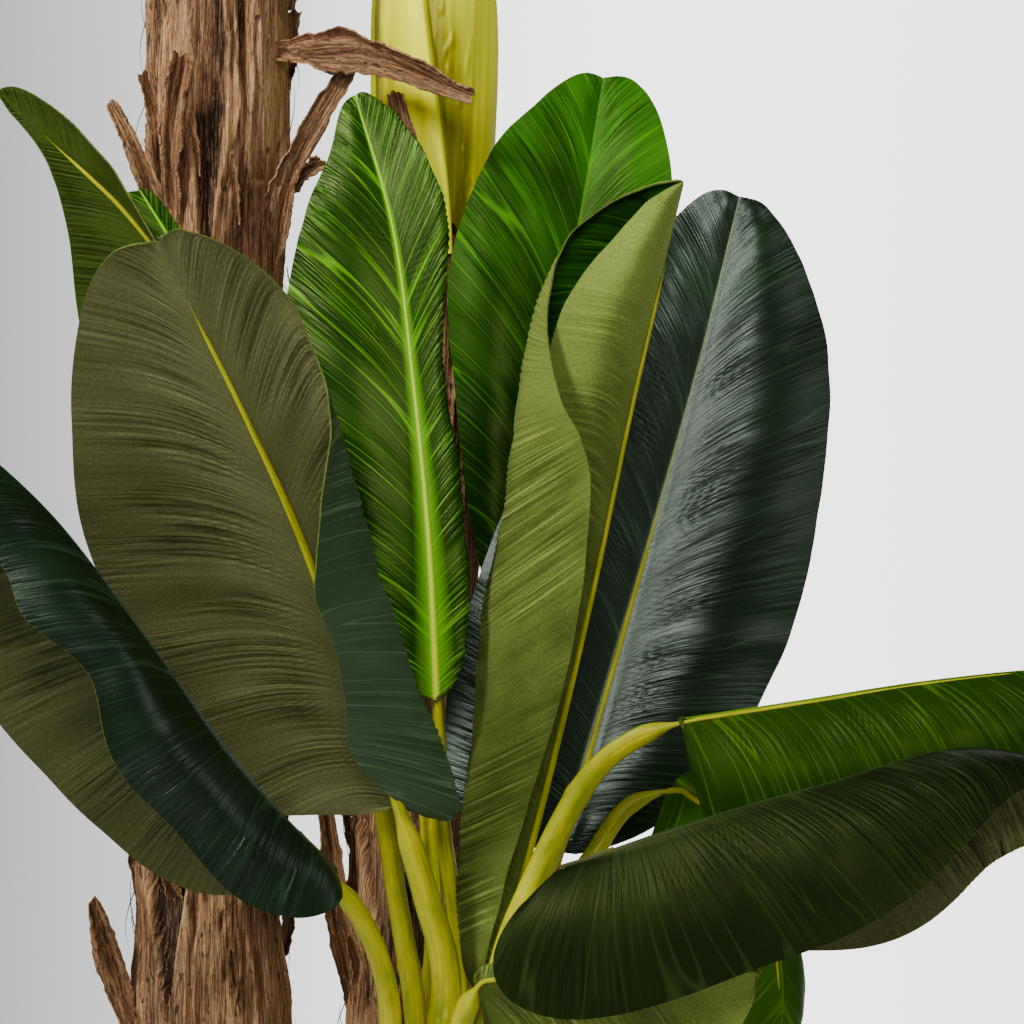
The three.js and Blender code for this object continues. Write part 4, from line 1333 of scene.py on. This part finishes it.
# each strip's root, bend, tip and widths
TALL_STRIPS = [
    ([-0.14, 0.04, 1.165], [-0.16, 0.018, 1.225], [-0.187, 0.008, 1.285], [0.022, 0.02, 0.016, 0.011]),
    ([-0.134, 0.028, 1.15], [-0.136, 0.002, 1.24], [-0.124, -0.008, 1.325], [0.014, 0.02, 0.021, 0.022]),
    ([-0.062, 0.052, 1.13], [-0.036, 0.022, 1.225], [0.017, 0.018, 1.32], [0.022, 0.024, 0.02, 0.017]),
    ([-0.062, 0.04, 1.335], [0.025, 0.002, 1.325], [0.12, -0.014, 1.286], [0.012, 0.036, 0.026, 0.015]),
    (
        [-0.16, 0.05, 0.43], [-0.18, 0.03, 0.51], [-0.204, 0.022, 0.602],
        [0.036, 0.038, 0.02, 0.026, 0.022, 0.01],
    ),
    ([-0.05, 0.05, 1.2], [-0.03, 0.03, 1.222], [-0.006, 0.02, 1.236], [0.02, 0.018, 0.014]),
]
MIDDLE_STRIPS = [
    ([0.06, 0.075, 1.09], [0.074, 0.048, 1.2], [0.054, 0.036, 1.296], [0.026, 0.026, 0.02, 0.015]),
    ([0.025, 0.09, 0.48], [0.004, 0.072, 0.58], [-0.008, 0.066, 0.68], [0.028, 0.026, 0.02, 0.014]),
]


def make_strip(name, root, bend, tip, widths, seed, rows=110, columns=30, thickness=0.0018):
    """One curled strip of dry sheath, folded into a channel that twists a little."""
    s = np.linspace(0, 1, rows)
    w = np.linspace(-1, 1, columns)[None]
    line = curve([root, bend, tip], s)
    along = unit(np.gradient(line, axis=0))
    across = unit(np.cross(along, [0.2, 1.0, 0.1]))
    out = unit(np.cross(along, across))
    twist = 0.5 * ripples(s * 2.2, 0 * s, seed)[:, None] + 0.5 * (s[:, None] - 0.4)
    cosine, sine = np.cos(twist), np.sin(twist)
    across, out = across * cosine + out * sine, out * cosine - across * sine
    half = spread(widths, s)[:, None] / 2
    torn_edge = 1 + 0.34 * ripples(s[:, None] * 7, np.sign(w), seed)
    torn_edge = torn_edge + 0.16 * ripples(s[:, None] * 26, np.sign(w), seed)
    half = half * np.where(np.abs(w) > 0.7, torn_edge, 1 + 0.1 * ripples(s[:, None] * 5, 0 * w, seed))
    fold = half * (0.9 * (1 - np.abs(w) ** 1.3) + 0.35 * ripples(w * 1.8, s[:, None] * 2.5, seed))
    fibre = STRIP["ridge"] * ridged(w * 4, s[:, None] * 1.6, seed + 4)
    fibre = fibre + STRIP["fibre"] * ripples(w * 11, s[:, None] * 4, seed)
    torn = STRIP["torn"] * smoothstep(0.9, 1, s)[:, None] * ripples(w * 1.7, 0 * s[:, None], seed + 8)
    points = line[:, None] + across[:, None] * (half * w)[..., None]
    points = points - out[:, None] * (fold + fibre)[..., None] + along[:, None] * torn[..., None]
    piece = lay_sheet(name, points)
    pale_tip = 0.1 * smoothstep(0.95, 1, s)[:, None]
    keep_values(piece, "relief", 0.55 + fibre / RELIEF_RANGE["strip"] + pale_tip)
    length = np.linalg.norm(np.subtract(tip, root))
    grain = np.stack(np.broadcast_arrays(half * w, fold + seed, s[:, None] * length), axis=-1)
    keep_values(piece, "grain", grain)
    thicken(piece, thickness, BARK_FINISH, BARK_FINISH, BARK_FINISH)
    return dress(piece, "bark")


strips = [("tall", data) for data in TALL_STRIPS] + [("middle", data) for data in MIDDLE_STRIPS]
for k, (trunk, data) in enumerate(strips):
    make_strip(f"dry_sheath_{trunk}_{k + 1}", *data, seed=3.7 * k)
print("dry sheaths", len(strips))

# %% [markdown]
# Besides the large strips, small flakes and loose threads peel off all round both trunks. Their
# places are drawn at random from a fixed seed: each has a bearing, a height and a length, and
# lies almost along the trunk. Particles could scatter them, but would leave many small pieces,
# and so each trunk's flakes are joined, and its threads are written as one mesh.


# %% Flakes and threads
THREAD_RADIUS = 0.0007


def beside_trunk(stem, share, turn, distance):
    """A point off a trunk's smooth surface."""
    x, y, z = curve(stem["path"], [share])[0]
    radius = spread(stem["radii"], np.array([share]))[0] + distance
    return np.array([x + radius * math.cos(turn), y + radius * math.sin(turn), z])


def make_flakes(prefix, stem, count, seed):
    """Small torn flakes of sheath that peel off a trunk, all in one piece."""
    random = np.random.default_rng(seed)
    height = stem["path"][-1][2] - stem["path"][0][2]
    made = []
    for k in range(count):
        turn, share = random.uniform(0, 2 * math.pi), random.uniform(0.06, 0.86)
        reach, lean = random.uniform(0.03, 0.09) / height, random.uniform(-0.12, 0.12)
        root = beside_trunk(stem, share, turn, -0.003)
        bend = beside_trunk(stem, share + reach * 0.5, turn + lean * 0.5, random.uniform(0.001, 0.005))
        tip = beside_trunk(stem, share + reach, turn + lean, random.uniform(0.004, 0.012))
        widths = random.uniform(0.008, 0.02) * np.array([1, 0.9, random.uniform(0.3, 0.9)])
        name = f"{prefix}_{k}"
        made.append(make_strip(name, root, bend, tip, widths, k * 1.3, rows=26, columns=10, thickness=0.001))
    bpy.ops.object.select_all(action="DESELECT")
    for piece in made:
        piece.select_set(True)
    bpy.context.view_layer.objects.active = made[0]
    bpy.ops.object.join()
    made[0].name = prefix
    return made[0]


def fibre_mesh(name, slot, points, faces, relief):
    """Many small pieces of fibre as one mesh from its points and faces."""
    bpy.ops.object.select_all(action="DESELECT")
    bpy.ops.mesh.primitive_cube_add(size=0.01)
    made = bpy.context.object
    made.name = name
    made.data.clear_geometry()
    made.data.from_pydata(points, [], faces)
    keep_values(made, "relief", relief)
    keep_values(made, "grain", np.array(points)[:, None])
    return dress(made, slot, BARK_FINISH)


def make_threads(name, stem, count, seed, segments=7):
    """Loose threads of fibre on a trunk, each a thin three-sided tapering tube."""
    random = np.random.default_rng(seed)
    height = stem["path"][-1][2] - stem["path"][0][2]
    points, faces, reliefs = [], [], []
    for _ in range(count):
        turn, share = random.uniform(0, 2 * math.pi), random.uniform(0.04, 0.93)
        reach, lean = random.uniform(-0.06, 0.08) / height, random.uniform(-0.35, 0.35)
        off, pale = random.uniform(0.002, 0.012), random.uniform(0.3, 0.9)
        start = len(points)
        for k in range(segments + 1):
            f = k / segments
            spot = beside_trunk(stem, share + reach * f, turn + lean * f * f, off * math.sin(2.4 * f) + 0.001)
            width = THREAD_RADIUS * (1 - 0.85 * f)
            ring = [(width * math.cos(a), width * math.sin(a), 0) for a in (0.3, 2.4, 4.5)]
            points.extend(spot + corner for corner in ring)
        reliefs.extend([pale] * 3 * (segments + 1))
        for k in range(segments):
            low, high = start + 3 * k, start + 3 * k + 3
            faces.extend((low + i, low + (i + 1) % 3, high + (i + 1) % 3, high + i) for i in range(3))
        faces.append((start + 2, start + 1, start))
        faces.append((high, high + 1, high + 2))
    return fibre_mesh(name, "bark", points, faces, reliefs)


for name, stem, flakes, threads in (("tall", TALL, 34, 260), ("middle", MIDDLE, 22, 160)):
    made = make_flakes(f"flakes_{name}", stem, flakes, seed=5)
    loose = make_threads(f"threads_{name}", stem, threads, seed=7)
    print(made.name, len(made.data.polygons), "faces,", loose.name, len(loose.data.polygons), "faces")

# %% [markdown]
# ## The pot and its filling
# The photograph ends above the pot, so it gets a plain round one. A cone could be inset and
# hollowed, but a section shows every edge at once. It is drawn as a few vertices and spun round
# the upright axis, the seam is merged, and a bevel softens its edges.


# %% Spinning a section
def spun(name, section, steps):
    """A closed round shape from its section, as (radius, height) from the axis to the axis."""
    bpy.ops.object.select_all(action="DESELECT")
    bpy.ops.mesh.primitive_plane_add(size=0.01)
    made = bpy.context.object
    made.name = name
    bpy.ops.object.mode_set(mode="EDIT")
    bpy.ops.mesh.delete(type="VERT")
    bpy.ops.object.mode_set(mode="OBJECT")
    vertices = [(r, 0, h) for r, h in section]
    made.data.from_pydata(vertices, [(k, k + 1) for k in range(len(section) - 1)], [])
    bpy.ops.object.mode_set(mode="EDIT")
    bpy.ops.mesh.select_all(action="SELECT")
    bpy.ops.mesh.spin(steps=steps, angle=2 * math.pi, center=(0, 0, 0), axis=(0, 0, 1))
    bpy.ops.mesh.select_all(action="SELECT")
    bpy.ops.mesh.remove_doubles(threshold=1e-5)
    bpy.ops.mesh.normals_make_consistent(inside=False)
    bpy.ops.object.mode_set(mode="OBJECT")
    return made


# %% Pot
POT = dict(
    height=0.3, foot=0.15, rim=0.205, wall=0.01, floor=0.012, lip=0.014, bevel=0.006, edge=0.003,
    softening=0.0025,
)


def pot_inside(height):
    """The radius of the pot's inside at a height."""
    return POT["foot"] + (POT["rim"] - POT["foot"]) * height / POT["height"] - POT["wall"]


def pot_section():
    """The pot's section from the middle of its underside to the middle of its floor."""
    height, foot, rim, edge = POT["height"], POT["foot"], POT["rim"], POT["edge"]
    return [
        (0, 0),
        (foot - POT["bevel"], 0),
        (foot, POT["bevel"]),
        (rim - edge, height - POT["lip"] - edge),
        (rim + edge, height - POT["lip"]),
        (rim + edge, height),
        (pot_inside(height), height),
        (pot_inside(POT["floor"]), POT["floor"]),
        (0, POT["floor"]),
    ]


pot = spun("planter", pot_section(), 128)
bpy.ops.object.modifier_add(type="BEVEL")
bevel = pot.modifiers[-1]
bevel.width = POT["softening"]
bevel.segments = 3
bevel.limit_method = "ANGLE"
bevel.angle_limit = math.radians(25)
bpy.ops.object.modifier_apply(modifier=bevel.name)

pot_stone = new_material("pot_composite", 0.62)
place = object_place(pot_stone)
speckle = pattern(place, (420, 420, 420), 2)
mottle = pattern(place, (18, 18, 30), 4)
trowel = pattern(place, (30, 30, 260), 3)
pot_colour = ramp(mottle, (0.3, (0.050, 0.048, 0.045)), (0.7, (0.085, 0.081, 0.076)))
pot_colour = blend(pot_colour, (0.22, 0.21, 0.19), speckle, (0.66, 0.0), (0.72, 0.6))
finish(pot_stone, pot_colour, (speckle, 0.0005), (trowel, 0.0006))
dress(pot, "pot", pot_stone, nodes=["pot"], sharp=35)

# %% [markdown]
# The filling is a weight that is topped with dried moss. Its top is a round sheet with many
# rings, which we raise in lumps. The bark chips on it are one small chip, copied with its
# own turn and size, all in one mesh.

# %% Filling
MOSS = dict(rise=0.004, lumps=0.009, tufts=0.004)


def filling_section(rings=70):
    """The filling's section: its underside, its wall and many rings over its top."""
    low, high = POT["floor"] + GAP, FILL_TOP
    top = [(pot_inside(high) * (1 - k / rings), high) for k in range(rings + 1)]
    return [(0, low), (pot_inside(low) - GAP, low), *[(r - GAP, h) for r, h in top[:-1]], top[-1]]


filling = spun("moss_filling", filling_section(), 160)
co = np.empty(len(filling.data.vertices) * 3)
filling.data.vertices.foreach_get("co", co)
co = co.reshape(-1, 3)
top = co[:, 2] > FILL_TOP - 1e-4
radius = np.linalg.norm(co[:, :2], axis=1)
inner = 1 - smoothstep(0.9, 1.0, radius / pot_inside(FILL_TOP))
lumps = MOSS["lumps"] * ripples(co[:, 0] / 0.03, co[:, 1] / 0.03, 2.0)
lumps = lumps + MOSS["tufts"] * ripples(co[:, 0] / 0.009, co[:, 1] / 0.009, 5.0)
co[:, 2] += np.where(top, (MOSS["rise"] + lumps) * inner, 0)
filling.data.vertices.foreach_set("co", co.reshape(-1))

moss = new_material("dried_moss", 0.95, sheen=0.3)
place = object_place(moss)
tufts = pattern(place, (160, 160, 160), 5, 0.75)
fields = pattern(place, (26, 26, 26), 3)
moss_colour = ramp(
    tufts, (0.32, (0.02, 0.018, 0.008)), (0.52, (0.075, 0.068, 0.025)), (0.72, (0.17, 0.15, 0.06))
)
moss_colour = blend(moss_colour, (0.085, 0.052, 0.026), fields, (0.45, 0.0), (0.65, 0.6))
finish(moss, moss_colour, (tufts, 0.004))
dress(filling, "fill", moss, nodes=["pot_fill"], sharp=80)


# %% Bark chips
CHIPS_REACH, CHIPS_LIFT = 0.182, 0.008
CHIP_HALF = [0.0055, 0.011, 0.0016]


def scattered_chips(count, seed):
    """The vertices and faces of many flat, uneven chips that lie on the filling."""
    random = np.random.default_rng(seed)
    chip = np.array([[x, y, z] for z in (-1, 1) for y in (-1, 0, 1) for x in (-1, 1)], float)
    chip[:, 0] *= np.where(chip[:, 1] == 0, 1.25, 0.8)
    sides = [(0, 2, 3, 1), (2, 4, 5, 3), (6, 7, 9, 8), (8, 9, 11, 10), (0, 1, 7, 6), (4, 10, 11, 5)]
    sides += [(0, 6, 8, 2), (2, 8, 10, 4), (1, 3, 9, 7), (3, 5, 11, 9)]
    points, faces = [], []
    for k in range(count):
        reach = CHIPS_REACH * math.sqrt(random.uniform(0.02, 1))
        bearing, turn, tip, lean = random.uniform(0, 2 * math.pi, 4) * (1, 1, 0.08, 0.08)
        size = random.uniform(0.6, 1.4) * np.array(CHIP_HALF)
        body = (chip + random.uniform(-0.25, 0.25, chip.shape)) * size
        cosine, sine = math.cos(turn), math.sin(turn)
        body = body @ np.array([[cosine, sine, 0], [-sine, cosine, 0], [0, 0, 1]])
        body[:, 2] += tip * body[:, 0] + lean * body[:, 1]
        lift = FILL_TOP + CHIPS_LIFT + random.uniform(0, 0.003)
        points.extend(body + (reach * math.cos(bearing), reach * math.sin(bearing), lift))
        faces.extend(tuple(i + k * len(chip) for i in side) for side in sides)
    return points, faces


points, faces = scattered_chips(count=260, seed=4)
fibre_mesh("bark_chips", "fill", points, faces, np.full(len(points), 0.6))
print("chips", len(faces), "faces")

# %% [markdown]
# ## Making all leaves
# The leaves in front are large and close to the eye, so their rows are little more than a
# millimetre apart. The crowns' leaves get coarser rows and wider veins, to keep the whole plant
# light.

# %% Front leaves
LOOKS = {
    "leaf_dark_right": ("ribbed", "olive", "leaf_dark"),
    "leaf_bright_back": ("deep", "green", "leaf_bright"),
    "leaf_bright_middle": ("bright", "green", "leaf_bright"),
    "leaf_rolled": ("deep", "pale", "leaf_pale"),
    "leaf_large_left": ("teal", "olive", "leaf_dark"),
    "leaf_tent_left": ("dark", "shaded", "leaf_dark"),
    "leaf_tent_right": ("matte", "olive", "leaf_dark"),
    # the moss cloth is the grass cloth darkened: painted shade
    "leaf_bright_right": ("moss", "green", "leaf_bright"),
    "leaf_hanging_right": ("grass", "green", "leaf_bright"),
    "leaf_far_left": ("dark", "green", "leaf_dark"),
    "leaf_behind_left": ("bright", "green", "leaf_bright"),
    "leaf_low_front": ("grass", "pale", "leaf_bright"),
}
RIBS = {
    "leaf_dark_right": dict(sunk=0.6),
    "leaf_rolled": dict(sunk=0.6, slim=0.6),
    "leaf_large_left": dict(sunk=0.3, slim=0.85),
    "leaf_tent_left": dict(sunk=2.6, slim=0.45),
    "leaf_tent_right": dict(sunk=2.6, slim=0.35),
    "leaf_bright_right": dict(sunk=1.2, slim=0.35),
    "leaf_hanging_right": dict(sunk=1.8, slim=0.6),
    "leaf_low_front": dict(slim=0.4),
}
for leaf in FRONT_LEAVES:
    bearing, height = leaf["root"]
    start = [around(FRONT["path"], bearing, leaf.get("inner", ROOT["inside"]), height)]
    if "inner" not in leaf:
        start.append(around(FRONT["path"], bearing, ROOT["outside"], height + ROOT["rise"]))
    leaf = {**leaf, "stalk": [*start, *leaf["stalk"]]}
    columns = 16 + 4 * (len(leaf["left"]) + len(leaf["right"]) > 4)
    blade = make_blade(leaf, *LOOKS[leaf["name"]], row_step=0.0013, columns=columns)
    stalk = make_stalk(leaf, ring_step=0.004, sides=28, **RIBS.get(leaf["name"], {}))
    print(leaf["name"], len(blade.data.polygons), "faces,", len(stalk.data.polygons), "on the stalk")

# %% Crowns
WIDE_VEINS = dict(
    pleat=0.0014, pleat_spacing=0.014, swell=0.002, swell_spacing=0.03, wave=0.004, wave_spacing=0.1
)
DARK_CROWN_LEAVES = ("leaf_tall_1", "leaf_tall_2", "leaf_tall_3", "leaf_tall_4", "leaf_tall_6")
for prefix, path, leaves in (
    ("leaf_middle_", MIDDLE_TOP["path"], MIDDLE_LEAVES),
    ("leaf_tall_", TALL_TOP["path"], TALL_LEAVES),
):
    for k, data in enumerate(leaves):
        leaf = arching_leaf(f"{prefix}{k + 1}", path, *data)
        dark = leaf["name"] in DARK_CROWN_LEAVES
        # the crowns' bright leaves get the moss cloth, the grass cloth darkened with painted shade
        look = ("dark", "olive", "leaf_dark") if dark else ("moss", "green", "leaf_bright")
        make_blade(leaf, *look, row_step=0.0034, columns=10, veins=WIDE_VEINS)
        make_stalk(leaf, ring_step=0.012, sides=14)
print("crown leaves", len(MIDDLE_LEAVES) + len(TALL_LEAVES))
